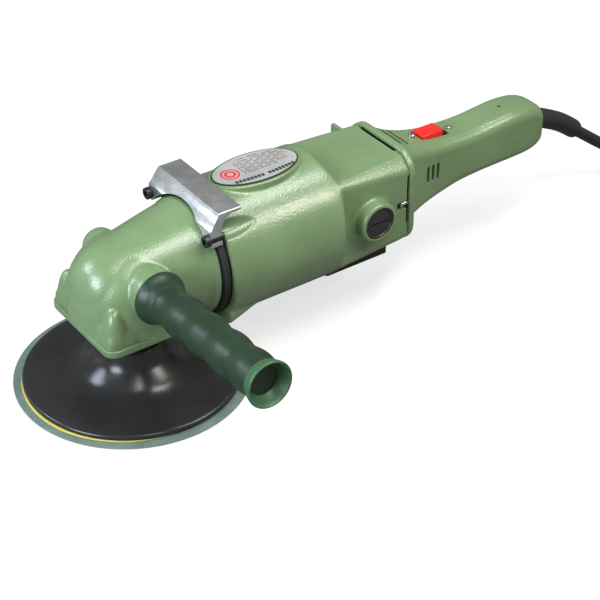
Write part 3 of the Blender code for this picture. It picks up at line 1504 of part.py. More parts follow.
def slide_switch():
    """The switch body under the handle's top, its red slide and the two screws that hold it."""
    low = (SWITCH_FRONT - 0.0030, -0.0105, SWITCH_BODY_TOP - 0.0220)
    high = (SWITCH_FRONT + SWITCH_LENGTH + SWITCH_TRAVEL + 0.0030, 0.0105, SWITCH_BODY_TOP)
    finish(bevel(box("switch_body", low, high), 0.0008, 1), black_plastic())
    slide_low = (SWITCH_FRONT, -SWITCH_WIDTH / 2, SWITCH_BODY_TOP + FIT)
    slide_high = (SWITCH_FRONT + SWITCH_LENGTH, SWITCH_WIDTH / 2, SWITCH_TOP)
    slide = bevel(box("switch_slide", slide_low, slide_high), 0.0010, 2)
    finish(slide, material("red_plastic", (0.72, 0.04, 0.03), 0.35))
    for name, x in zip(("front", "rear"), switch_screw_places()):
        head = SCREW_RADIUS * 1.2
        surface = max(handle_top(x - head), handle_top(x + head))
        profile = (
            (0, surface + 0.0017),
            (SCREW_RADIUS, surface + 0.0015),
            (head, surface + 0.0010),
            (head, surface + FIT),
            (SCREW_RADIUS, surface + FIT),
            (SCREW_RADIUS, surface - 0.0080),
            (0, surface - 0.0080),
        )
        finish(turned(f"switch_screw_{name}", profile, Matrix.Translation((x, 0, 0)), 14), steel())


# ---------------------------------------------------------------- side handle


def grip_axis():
    """Places local Z along the side handle, from its flange outwards."""
    start = Vector((0, -HANDLE_BOSS_FACE - FIT, GRIP_AXIS_Z))
    return Matrix.Translation(start) @ Matrix.Rotation(math.radians(90) - GRIP_TILT, 4, "X")


def side_handle():
    """A moulded grip with finger bulges, a wide inner flange and a cupped outer end."""
    length, body = GRIP_LENGTH, GRIP_RADIUS
    rise = 0.0020
    profile = [
        (0, length - 0.0160),
        (body * 0.55, length - 0.0150),
        (GRIP_END_RADIUS - 0.0050, length - 0.0030),
        (GRIP_END_RADIUS - 0.0022, length),
        (GRIP_END_RADIUS, length - 0.0015),
        (GRIP_END_RADIUS - 0.0008, length - 0.0050),
        (body * 0.92, length - 0.0120),
    ]
    waves, first, last = 4, length - 0.0120, 0.0180
    steps = 12
    for step in range(1, steps):
        share = step / steps
        swell = rise * abs(math.sin(math.pi * waves * share)) ** 0.8
        profile.append((body * 0.92 + swell, first + (last - first) * share))
    profile += [
        (body * 0.95, last),
        (body * 1.10, 0.0110),
        (GRIP_FLANGE_RADIUS - 0.0020, 0.0070),
        (GRIP_FLANGE_RADIUS, 0.0045),
        (GRIP_FLANGE_RADIUS, 0.0025),
        (GRIP_FLANGE_RADIUS - 0.0015, 0.0016),
        (STUD_RADIUS + FIT, 0.0016),
        (STUD_RADIUS + FIT, 0.0300),
        (0, 0.0300),
    ]
    return finish(turned("side_handle", profile, grip_axis(), 20), green_rubber())


def side_handle_stud():
    stud = rod(
        "side_handle_stud",
        STUD_RADIUS,
        (0, -0.0290, GRIP_AXIS_Z),
        (0, -HANDLE_BOSS_FACE - 0.0010, GRIP_AXIS_Z),
        14,
    )
    outer = rod(
        "stud_outer",
        STUD_RADIUS - 0.0006,
        grip_axis() @ Vector((0, 0, -0.0020)),
        grip_axis() @ Vector((0, 0, 0.0290)),
        14,
    )
    return finish(join(stud, outer), steel())


# ---------------------------------------------------------------- cord


def coil_radii():
    half = COIL_TURNS_ACROSS * CORD_RADIUS
    return COIL_MIDDLE_RADIUS - half, COIL_MIDDLE_RADIUS + half


def cord():
    """Sleeve, free cord, coil, tail and plug, laid on the plane that the disc stands on."""
    sleeve_points = route_between(ROUTE_OUT, 0.0, SLEEVE_LENGTH, 0.010)
    sleeve = tube("cord_sleeve", sleeve_points, SLEEVE_RADIUS, SLEEVE_END_RADIUS, sides=3)
    finish(sleeve, black_rubber())
    spacing = 2.4 * 2 * CORD_RADIUS
    route = route_between(ROUTE_OUT, SLEEVE_LENGTH + FIT, 1.0, spacing)
    finish(tube("mains_cord", route, CORD_RADIUS), black_rubber())
    inner, outer = coil_radii()
    height = COIL_LAYERS * 2 * CORD_RADIUS
    edge = CORD_RADIUS * 0.6
    profile = (
        (inner + edge, height),
        (outer - edge, height),
        (outer, height - edge),
        (outer, edge),
        (outer - edge, 0.0),
        (inner + edge, 0.0),
        (inner, edge),
        (inner, height - edge),
    )
    coil = turned("cord_coil", profile, Matrix.Translation((*COIL_CENTRE, 0)), 32)
    finish(coil, black_rubber())
    tail = route_between(ROUTE_TAIL, 0.0, 1.0, spacing)
    finish(tube("cord_tail", tail, CORD_RADIUS), black_rubber())


def plug():
    """A round two-pin plug that lies on the floor at the end of the tail."""
    end = Vector(ROUTE_TAIL[-1])
    along = (end - Vector(ROUTE_TAIL[-2])).normalized()
    along.z = 0
    along.normalize()
    turn = Vector((0, 0, 1)).rotation_difference(along).to_matrix().to_4x4()
    where = Matrix.Translation(end) @ turn
    boot, body = 0.0200, PLUG_LENGTH
    profile = (
        (0, boot + body),
        (PLUG_RADIUS - 0.0010, boot + body),
        (PLUG_RADIUS, boot + body - 0.0010),
        (PLUG_RADIUS, boot + 0.0100),
        (PLUG_RADIUS * 0.80, boot + 0.0030),
        (CORD_RADIUS * 1.5, boot),
        (CORD_RADIUS * 1.25, FIT),
        (0, FIT),
    )
    finish(turned("plug_body", profile, where, 16), black_plastic())
    for name, side in (("1", -1), ("2", 1)):
        offset = side * PLUG_PIN_SPACING / 2
        across = Vector((-along.y, along.x, 0)) * offset
        base = end + along * (boot + body + FIT) + across
        pin = rod(f"plug_pin_{name}", PLUG_PIN_RADIUS, base, base + along * PLUG_PIN_LENGTH, 10)
        finish(pin, material("brass", (0.78, 0.60, 0.25), 0.35, 1.0))


def main():
    abrasive_disc()
    liner_disc()
    backing_pad()
    clamp_nut()
    spindle()
    crown_gear()
    bevel_pinion()
    gear_housing()
    gearbox_cover()
    cover_screws()
    bearings()
    clamp_strap()
    saddle()
    saddle_bolts()
    motor_housing()
    handle_screws()
    nameplate()
    foot_strip()
    stator()
    armature()
    fan()
    rear_bearing_bracket()
    brush_gear("left", -1)
    brush_gear("right", 1)
    rear_handle()
    handle_cover()
    slide_switch()
    side_handle()
    side_handle_stud()
    cord()
    plug()


main()
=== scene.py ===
"""Finished looks for a right-angle disc sander and polisher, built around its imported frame.

Metres, +Z up. The abrasive face lies in the plane Z = 0 under the spindle's axis, the motor's axis runs
along +X to the rear handle and the cord, and the side handle points along -Y.
"""

import json
import math

import bmesh
import bpy
from bpy.props import (FloatProperty, FloatVectorProperty, IntProperty, PointerProperty)
from mathutils import Matrix, Vector


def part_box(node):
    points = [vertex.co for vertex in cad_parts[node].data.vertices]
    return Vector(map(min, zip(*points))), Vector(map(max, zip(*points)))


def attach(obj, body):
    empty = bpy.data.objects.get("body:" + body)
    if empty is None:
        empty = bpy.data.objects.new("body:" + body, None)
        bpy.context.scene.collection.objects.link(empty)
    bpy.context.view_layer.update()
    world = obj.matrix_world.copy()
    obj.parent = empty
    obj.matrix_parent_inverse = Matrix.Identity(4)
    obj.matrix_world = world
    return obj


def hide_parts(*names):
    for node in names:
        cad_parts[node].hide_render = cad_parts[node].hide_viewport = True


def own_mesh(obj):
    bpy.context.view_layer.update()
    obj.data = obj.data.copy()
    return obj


bl_info = {
    "name": "Disc Sander Parts", "version": (1, 0, 0), "blender": (4, 5, 0),
    "location": "3D View > Sidebar > Disc Sander",
    "description": "Makes the finished pieces of a right-angle disc sander and polisher",
    "category": "Add Mesh"
}

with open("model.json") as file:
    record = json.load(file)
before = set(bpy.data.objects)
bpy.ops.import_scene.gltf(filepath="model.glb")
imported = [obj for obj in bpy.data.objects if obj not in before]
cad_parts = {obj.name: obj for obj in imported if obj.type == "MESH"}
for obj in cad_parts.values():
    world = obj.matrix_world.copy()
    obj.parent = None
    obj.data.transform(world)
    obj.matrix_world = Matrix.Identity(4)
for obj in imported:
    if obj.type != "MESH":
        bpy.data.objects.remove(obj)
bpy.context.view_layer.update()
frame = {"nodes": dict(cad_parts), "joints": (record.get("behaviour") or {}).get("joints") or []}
NODES = frame["nodes"]
JOINTS = {joint["name"]: joint for joint in frame["joints"]}

AXIS_Z = JOINTS["armature_spin"]["pos_m"][2]
MOTOR_AXIS = Vector((0, 0, AXIS_Z))
TO_X = Matrix.Rotation(math.radians(90), 4, "Y")
TO_Y = Matrix.Rotation(math.radians(-90), 4, "X")
TO_MINUS_X = Matrix.Rotation(math.radians(-90), 4, "Y")
ON_AXIS = Matrix.Translation(MOTOR_AXIS) @ TO_X
HANDLE_Z = AXIS_Z + 0.0083
COVER_BOTTOM, COVER_TOP, CASTING_BOTTOM = 0.0555, 0.061, 0.0613
SCREW_GAP, SCREW_HOLE = 0.0003, 0.0027


def low(node):
    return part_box(node)[0]


def high(node):
    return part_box(node)[1]


def middle(node):
    return (low(node) + high(node)) / 2


def shift(x=0.0, y=0.0, z=0.0):
    return Matrix.Translation((x, y, z))


def aimed(direction):
    """Turns local Z to a direction."""
    return Vector((0, 0, 1)).rotation_difference(direction).to_matrix().to_4x4()


def sideways(sign):
    """Turns local Z to +Y or to -Y."""
    return TO_Y if sign > 0 else TO_Y @ Matrix.Rotation(math.pi, 4, "X")


def eased(t):
    return t * t * (3 - 2 * t)


# ---------------------------------------------------------------- settings


def length(name, description, default, least=0.0):
    return FloatProperty(
        name=name, description=description, default=default, min=least, unit="LENGTH", precision=5
    )


def colour(name, description, default):
    return FloatVectorProperty(
        name=name, description=description, default=default, size=3, min=0.0, max=1.0, subtype="COLOR"
    )


def share(name, description, default):
    return FloatProperty(
        name=name, description=description, default=default, min=0.0, max=1.0, subtype="FACTOR"
    )


class SanderColours(bpy.types.PropertyGroup):
    """Colours of the sander's finishes."""

    paint: colour("Paint", "The green gloss paint of the castings", (0.166, 0.268, 0.12))
    paint_thin: colour("Paint, Thin", "The paint where it lies thinner", (0.19, 0.3, 0.138))
    grip: colour("Grip", "The dark green moulding of the side handle", (0.012, 0.034, 0.015))
    grip_end: colour("Grip End", "The lighter cupped end of the side handle", (0.048, 0.13, 0.058))
    pad: colour("Pad", "The black rubber of the backing pad", (0.021, 0.021, 0.021))
    disc: colour("Disc", "The abrasive disc's resin", (0.125, 0.19, 0.165))
    fibre: colour("Fibre", "The yellow fibre disc between pad and abrasive", (0.78, 0.62, 0.04))
    switch: colour("Switch", "The switch's red slide", (0.76, 0.012, 0.01))
    cord: colour("Cord", "The mains cord's rubber", (0.017, 0.017, 0.016))
    cast: colour("Cast", "The saddle's bare cast aluminium", (0.55, 0.57, 0.56))
    plate: colour("Plate", "The nameplate's bare metal", (0.64, 0.66, 0.64))
    mark: colour("Mark", "The ring and short lines printed on the nameplate", (0.6, 0.03, 0.03))
    ink: colour("Ink", "The dark print and border of the nameplate", (0.025, 0.03, 0.028))


class SanderSizes(bpy.types.PropertyGroup):
    """Sizes of the details that the frame leaves open."""

    casting_grain: length(
        "Casting Grain", "Grid size that the cast pieces are blended on", 0.0009, 0.0006
    )
    blend_passes: IntProperty(
        name="Blend Passes", description="Smoothing passes that round a casting's inner corners",
        default=20, min=1
    )
    peel_depth: length("Peel Depth", "Height of the paint's orange peel", 0.00011)
    peel_size: length("Peel Size", "Size of one bump of the orange peel", 0.0013, 0.0002)
    edge_round: length("Edge Round", "Radius on the outer edges of the machined pieces", 0.0012)
    grip_rise: length("Grip Rise", "How far the side handle's finger bulges stand out", 0.0017)
    cord_pitch: length(
        "Cord Pitch", "Distance between neighbouring turns of the cord's coil", 0.01, 0.001
    )


class StudioSettings(bpy.types.PropertyGroup):
    """The camera, the lights and the floor."""

    azimuth: FloatProperty(
        name="Azimuth", description="Direction that the camera looks from",
        default=math.radians(-35.4114), subtype="ANGLE"
    )
    elevation: FloatProperty(
        name="Elevation", description="Height angle of the camera", default=math.radians(35.2803),
        subtype="ANGLE"
    )
    distance: length("Distance", "From the camera to the point that it looks at", 1.2275)
    focal: FloatProperty(name="Lens", description="Focal length in millimetres", default=102.531, min=1.0)
    target: FloatVectorProperty(
        name="Target", description="Point that the camera looks at", default=(0.0916, -0.088, 0.08),
        subtype="TRANSLATION"
    )
    floor_white: share("Floor White", "How pale the floor looks", 0.42)
    floor_bounce: share("Floor Bounce", "How much light the floor throws up", 0.22)
    key_power: FloatProperty(
        name="Key Power", description="Power of the main softbox", default=11.5, min=0.0
    )
    fill_power: FloatProperty(
        name="Fill Power", description="Power of the second softbox", default=6.0, min=0.0
    )
    sky_strength: FloatProperty(
        name="Sky Strength", description="Strength of the even light", default=0.24, min=0.0
    )


# ---------------------------------------------------------------- mesh tools


def new_object(name, mesh):
    made = bpy.data.objects.new(name, mesh)
    bpy.context.scene.collection.objects.link(made)
    return made


def remove(thing):
    mesh = thing.data
    bpy.data.objects.remove(thing, do_unlink=True)
    if mesh and mesh.users == 0 and isinstance(mesh, bpy.types.Mesh):
        bpy.data.meshes.remove(mesh)


def build(name, make, where=None, weld=True):
    """A mesh object from a function that fills a bmesh, with its place put into its mesh."""
    mesh = bpy.data.meshes.new(name)
    work = bmesh.new()
    make(work)
    if where is not None:
        bmesh.ops.transform(work, matrix=where, verts=work.verts)
    if weld:
        bmesh.ops.remove_doubles(work, verts=work.verts, dist=1e-6)
    bmesh.ops.recalc_face_normals(work, faces=work.faces)
    work.to_mesh(mesh)
    work.free()
    return new_object(name, mesh)


def bake(thing):
    """Puts what the modifiers make into the mesh and removes them."""
    view = bpy.context.evaluated_depsgraph_get()
    mesh = bpy.data.meshes.new_from_object(thing.evaluated_get(view))
    old = thing.data
    thing.modifiers.clear()
    thing.data = mesh
    bpy.data.meshes.remove(old)
    return thing


def soften(points, radius, steps=5, closed=False):
    """A polyline with its corners rounded. A point may carry its own radius as a third value."""
    flat = [(Vector(p[:2]), p[2] if len(p) > 2 else radius) for p in points]
    count = len(flat)
    out = []
    for i, (corner, own) in enumerate(flat):
        if own <= 0 or (not closed and i in (0, count - 1)):
            out.append(tuple(corner))
            continue
        before = flat[i - 1][0]
        after = flat[(i + 1) % count][0]
        back, on = before - corner, after - corner
        reach = min(own, back.length * 0.49, on.length * 0.49)
        if reach < 1e-7:
            out.append(tuple(corner))
            continue
        start = corner + back.normalized() * reach
        end = corner + on.normalized() * reach
        for step in range(steps + 1):
            t = step / steps
            out.append(tuple(start * (1 - t) ** 2 + corner * 2 * t * (1 - t) + end * t * t))
    return out


def round_rectangle(half_a, half_b, corner, arc):
    """Points round a rectangle with round corners, with arc points to each corner."""
    points = []
    for quarter, (side_a, side_b) in enumerate(((1, 1), (-1, 1), (-1, -1), (1, -1))):
        for step in range(arc):
            angle = math.radians(90) * (quarter + step / (arc - 1))
            a = side_a * (half_a - corner) + corner * math.cos(angle)
            points.append((a, side_b * (half_b - corner) + corner * math.sin(angle)))
    return points


def turned(name, profile, where=None, segments=96, radius=0.0006, steps=4):
    """A solid turned about local Z from (radius, height) pairs, with its corners rounded."""
    closed = profile[0][0] > 1e-9 or profile[-1][0] > 1e-9
    points = soften(profile, radius, steps, closed)

    def make(work):
        rings = []
        for r, z in points:
            if r < 1e-9:
                rings.append([work.verts.new((0, 0, z))])
                continue
            rings.append(
                [
                    work.verts.new(
                        (
                            r * math.cos(2 * math.pi * i / segments),
                            r * math.sin(2 * math.pi * i / segments), z
                        )
                    )
                    for i in range(segments)
                ]
            )
        pairs = list(zip(rings, rings[1:]))
        if closed:
            pairs.append((rings[-1], rings[0]))
        for a, b in pairs:
            if len(a) == 1 and len(b) == 1:
                continue
            for i in range(segments):
                j = (i + 1) % segments
                if len(a) == 1:
                    work.faces.new((a[0], b[j], b[i]))
                elif len(b) == 1:
                    work.faces.new((a[i], a[j], b[0]))
                else:
                    work.faces.new((a[i], a[j], b[j], b[i]))

    return build(name, make, where)


def rod(name, radius, start, end, segments=48, end_radius=None):
    """A plain cylinder or cone between two points, used as a cutter or under a blend."""
    start, end = Vector(start), Vector(end)
    along = end - start

    def make(work):
        bmesh.ops.create_cone(
            work, cap_ends=True, segments=segments, radius1=radius,
            radius2=radius if end_radius is None else end_radius, depth=along.length
        )

    return build(name, make, Matrix.Translation((start + end) / 2) @ aimed(along))


def block(name, low_corner, high_corner, upright=0.0, edge=0.0, axis=2):
    """A box with its edges along one axis rounded, then all its edges."""
    low_corner, high_corner = Vector(low_corner), Vector(high_corner)
    size = high_corner - low_corner

    def make(work):
        bmesh.ops.create_cube(work, size=1.0)
        bmesh.ops.scale(work, vec=size, verts=work.verts)
        if upright > 0:
            along = [
                e
                for e in work.edges
                if abs(e.verts[0].co[axis] - e.verts[1].co[axis]) > size[axis] * 0.5
            ]
            bmesh.ops.bevel(work, geom=along, offset=upright, segments=10, profile=0.5, affect="EDGES")
        if edge > 0:
            sharp = [e for e in work.edges if e.calc_face_angle(0) > math.radians(50)]
            bmesh.ops.bevel(work, geom=sharp, offset=edge, segments=3, profile=0.5, affect="EDGES")

    return build(name, make, Matrix.Translation((low_corner + high_corner) / 2))


def slab(name, points, thickness, where):
    """A flat outline in local XY with half its thickness on each side of local Z."""

    def make(work):
        lower = [work.verts.new((x, y, -thickness / 2)) for x, y in points]
        upper = [work.verts.new((x, y, thickness / 2)) for x, y in points]
        work.faces.new(list(reversed(lower)))
        work.faces.new(upper)
        for i in range(len(points)):
            j = (i + 1) % len(points)
            work.faces.new((lower[i], lower[j], upper[j], upper[i]))

    return build(name, make, where)


def skin(name, rings):
    """A closed skin through rings that have the same number of points."""

    def make(work):
        loops = [[work.verts.new(p) for p in ring] for ring in rings]
        for a, b in zip(loops, loops[1:]):
            for i in range(len(a)):
                j = (i + 1) % len(a)
                work.faces.new((a[i], a[j], b[j], b[i]))
        work.faces.new(list(reversed(loops[0])))
        work.faces.new(loops[-1])

    return build(name, make)


def boolean(target, others, operation="DIFFERENCE"):
    """Cuts or joins other objects, which are used up."""
    for other in others:
        modifier = target.modifiers.new(operation.lower(), "BOOLEAN")
        modifier.operation = operation
        modifier.solver = "EXACT"
        modifier.object = other
    bake(target)
    for other in others:
        remove(other)
    return target


def melt(name, parts, grain, passes):
    """Overlapping solids made one casting, with their inner corners rounded."""
    work = bmesh.new()
    for part in parts:
        work.from_mesh(part.data)
    mesh = bpy.data.meshes.new(name)
    work.to_mesh(mesh)
    work.free()
    for part in parts:
        remove(part)
    made = new_object(name, mesh)
    remesh = made.modifiers.new("grain", "REMESH")
    remesh.mode = "VOXEL"
    remesh.voxel_size = grain
    smooth = made.modifiers.new("blend", "SMOOTH")
    smooth.factor = 0.5
    smooth.iterations = passes
    return bake(made)


def tube(name, points, radius, sides):
    """A round tube along points, whose radius is a function of the share of the way along."""
    rings = []
    normal = None
    for i, point in enumerate(points):
        ahead = points[min(i + 1, len(points) - 1)] - points[max(i - 1, 0)]
        ahead.normalize()
        if normal is None:
            normal = ahead.orthogonal().normalized()
        normal = (normal - ahead * normal.dot(ahead)).normalized()
        other = ahead.cross(normal)
        r = radius(i / (len(points) - 1))
        rings.append(
            [
                point + (normal * math.cos(a) + other * math.sin(a)) * r
                for a in (2 * math.pi * k / sides for k in range(sides))
            ]
        )
    return skin(name, rings)


def catmull(points, per=12):
    """A Catmull-Rom curve through points of any dimension."""
    points = [Vector(p) for p in points]
    padded = [2 * points[0] - points[1], *points, 2 * points[-1] - points[-2]]
    out = []
    for a, b, c, d in zip(padded, padded[1:], padded[2:], padded[3:]):
        for step in range(per):
            t = step / per
            out.append(
                0.5 * (
                    2 * b + (c - a) * t + (
                        2 * a - 5 * b + 4 * c - d
                    ) * t * t + (3 * b - a - 3 * c + d) * t**3
                )
            )
    out.append(points[-1])
    return out


def round_edges(thing, width, segments):
    edge = thing.modifiers.new("edges", "BEVEL")
    edge.width = width
    edge.segments = segments
    edge.limit_method = "ANGLE"
    edge.angle_limit = math.radians(40)
    return bake(thing)


# ---------------------------------------------------------------- shader groups


def made_once(name):
    """A function's node group is made at its first call and found by its name after that."""

    def wrap(make):
        return lambda: bpy.data.node_groups.get(name) or make(name)

    return wrap


def group(name, sockets_in, sockets_out):
    """An empty shader group with named inputs and outputs, and its two end nodes."""
    tree = bpy.data.node_groups.new(name, "ShaderNodeTree")
    for label, kind, default in sockets_in:
        socket = tree.interface.new_socket(label, in_out="INPUT", socket_type=kind)
        if default is not None:
            socket.default_value = default
    for label, kind in sockets_out:
        tree.interface.new_socket(label, in_out="OUTPUT", socket_type=kind)
    return tree, tree.nodes.new("NodeGroupInput"), tree.nodes.new("NodeGroupOutput")


def add(tree, kind, inputs, **settings):
    """A node with its settings, and its inputs linked or given plain values."""
    node = tree.nodes.new(kind)
    for label, value in settings.items():
        setattr(node, label, value)
    for label, value in inputs.items():
        if isinstance(value, bpy.types.NodeSocket):
            tree.links.new(value, node.inputs[label])
        else:
            node.inputs[label].default_value = value
    return node


def maths(tree, operation, a, b):
    return add(tree, "ShaderNodeMath", {0: a, 1: b}, operation=operation).outputs[0]


def noise(tree, vector, scale, detail=3.0, roughness=0.5):
    inputs = {"Vector": vector, "Scale": scale, "Detail": detail, "Roughness": roughness}
    return add(tree, "ShaderNodeTexNoise", inputs).outputs["Fac"]


def ramp(tree, value, low_at, high_at, low_to=0.0, high_to=1.0):
    inputs = {
        "Value": value, "From Min": low_at, "From Max": high_at, "To Min": low_to, "To Max": high_to
    }
    return add(tree, "ShaderNodeMapRange", inputs, interpolation_type="SMOOTHSTEP").outputs["Result"]


def mix_colour(tree, fac, a, b):
    return add(tree, "ShaderNodeMix", {"Factor": fac, "A": a, "B": b}, data_type="RGBA").outputs["Result"]


@made_once("patchy_tone")
def tone_group(name):
    """Two colours mixed in soft patches, darker specks of dirt laid over them."""
    tree, start, end = group(
        name,
        (
            ("Vector", "NodeSocketVector", None), ("Colour", "NodeSocketColor", (0.5, 0.5, 0.5, 1)),
            ("Other Colour", "NodeSocketColor", (0.5, 0.5, 0.5, 1)),
            ("Dirt Colour", "NodeSocketColor", (0.05, 0.05, 0.04, 1)),
            ("Patch Scale", "NodeSocketFloat", 30.0), ("Dirt Scale", "NodeSocketFloat", 400.0),
            ("Dirt Amount", "NodeSocketFloat", 0.1)
        ),
        (("Colour", "NodeSocketColor"),)
    )
    vector = start.outputs["Vector"]
    patch = ramp(tree, noise(tree, vector, start.outputs["Patch Scale"], 4.0, 0.6), 0.35, 0.65)
    base = mix_colour(tree, patch, start.outputs["Colour"], start.outputs["Other Colour"])
    specks = ramp(tree, noise(tree, vector, start.outputs["Dirt Scale"], 5.0, 0.7), 0.6, 0.78)
    amount = maths(tree, "MULTIPLY", specks, start.outputs["Dirt Amount"])
    tree.links.new(mix_colour(tree, amount, base, start.outputs["Dirt Colour"]), end.inputs["Colour"])
    return tree


@made_once("smudges")
def smudge_group(name):
    """Roughness that changes in soft smears and fine marks."""
    tree, start, end = group(
        name,
        (
            ("Vector", "NodeSocketVector", None), ("Low", "NodeSocketFloat", 0.3),
            ("High", "NodeSocketFloat", 0.5), ("Scale", "NodeSocketFloat", 40.0)
        ),
        (("Roughness", "NodeSocketFloat"),)
    )
    vector = start.outputs["Vector"]
    wide = noise(tree, vector, start.outputs["Scale"], 5.0, 0.6)
    fine = noise(tree, vector, maths(tree, "MULTIPLY", start.outputs["Scale"], 9.0), 3.0, 0.6)
    mixed = maths(tree, "ADD", maths(tree, "MULTIPLY", wide, 0.7), maths(tree, "MULTIPLY", fine, 0.3))
    result = ramp(tree, mixed, 0.3, 0.7, start.outputs["Low"], start.outputs["High"])
    tree.links.new(result, end.inputs["Roughness"])
    return tree


@made_once("orange_peel")
def peel_group(name):
    """Height of sprayed paint or moulded skin: rounded bumps with finer ones between them."""
    tree, start, end = group(
        name,
        (
            ("Vector", "NodeSocketVector", None), ("Scale", "NodeSocketFloat", 600.0),
            ("Fine Share", "NodeSocketFloat", 0.3)
        ),
        (("Height", "NodeSocketFloat"),)
    )
    vector = start.outputs["Vector"]
    coarse = noise(tree, vector, start.outputs["Scale"], 0.0)
    fine = noise(tree, vector, maths(tree, "MULTIPLY", start.outputs["Scale"], 3.1), 2.0, 0.5)
    height = maths(tree, "ADD", coarse, maths(tree, "MULTIPLY", fine, start.outputs["Fine Share"]))
    tree.links.new(height, end.inputs["Height"])
    return tree


@made_once("tool_marks")
def streak_group(name):
    """Height and mask of fine marks left along one direction by a brush, lathe or grinder."""
    tree, start, end = group(
        name,
        (
            ("Vector", "NodeSocketVector", None), ("Stretch", "NodeSocketVector", (1.0, 30.0, 30.0)),
            ("Scale", "NodeSocketFloat", 60.0)
        ),
        (("Height", "NodeSocketFloat"), ("Mask", "NodeSocketFloat"))
    )
    factors = {0: start.outputs["Vector"], 1: start.outputs["Stretch"]}
    scaled = add(tree, "ShaderNodeVectorMath", factors, operation="MULTIPLY")
    marks = noise(tree, scaled.outputs[0], start.outputs["Scale"], 4.0, 0.65)
    tree.links.new(marks, end.inputs["Height"])
    tree.links.new(ramp(tree, marks, 0.42, 0.62), end.inputs["Mask"])
    return tree


def place_group(tree, source, **values):
    inputs = {label.replace("_", " "): value for label, value in values.items()}
    return add(tree, "ShaderNodeGroup", inputs, node_tree=source)


def surface(
    name, base, other=None, dirt=(0.05, 0.05, 0.045), dirt_amount=0.08, patch=25.0, specks=380.0,
    rough=(0.3, 0.4), smears=35.0, metallic=0.0, bump=0.0001, bump_scale=600.0, fine=0.3, streak=None,
    streak_scale=60.0, coat=0.0, specular=0.5
):
    """A finish built from the shared groups: patchy tone, smudged gloss and a grain or tool marks."""
    made = bpy.data.materials.get(name)
    if made:
        return made
    made = bpy.data.materials.new(name)
    made.use_nodes = True
    tree = made.node_tree
    shader = tree.nodes["Principled BSDF"]
    place = tree.nodes.new("ShaderNodeTexCoord").outputs["Object"]
    base = tuple(base)
    other = tuple(other) if other else tuple(min(1.0, c * 1.12 + 0.004) for c in base)
    tone = place_group(
        tree, tone_group(), Vector=place, Colour=(*base, 1.0), Other_Colour=(*other, 1.0),
        Dirt_Colour=(*dirt, 1.0), Patch_Scale=patch, Dirt_Scale=specks, Dirt_Amount=dirt_amount
    )
    tree.links.new(tone.outputs["Colour"], shader.inputs["Base Color"])
    gloss = place_group(tree, smudge_group(), Vector=place, Low=rough[0], High=rough[1], Scale=smears)
    tree.links.new(gloss.outputs["Roughness"], shader.inputs["Roughness"])
    if streak:
        marks = place_group(tree, streak_group(), Vector=place, Stretch=streak, Scale=streak_scale)
        height = marks.outputs["Height"]
    else:
        peel = place_group(tree, peel_group(), Vector=place, Scale=bump_scale, Fine_Share=fine)
        height = peel.outputs["Height"]
    raised = add(tree, "ShaderNodeBump", {"Strength": 1.0, "Distance": bump, "Height": height})
    tree.links.new(raised.outputs["Normal"], shader.inputs["Normal"])
    constants = {
        "Metallic": metallic, "Specular IOR Level": specular, "Coat Weight": coat, "Coat Roughness": 0.1
    }
    for label, value in constants.items():
        shader.inputs[label].default_value = value
    return made


def sizes():
    return bpy.context.scene.sander_sizes


def colours():
    return bpy.context.scene.sander_colours


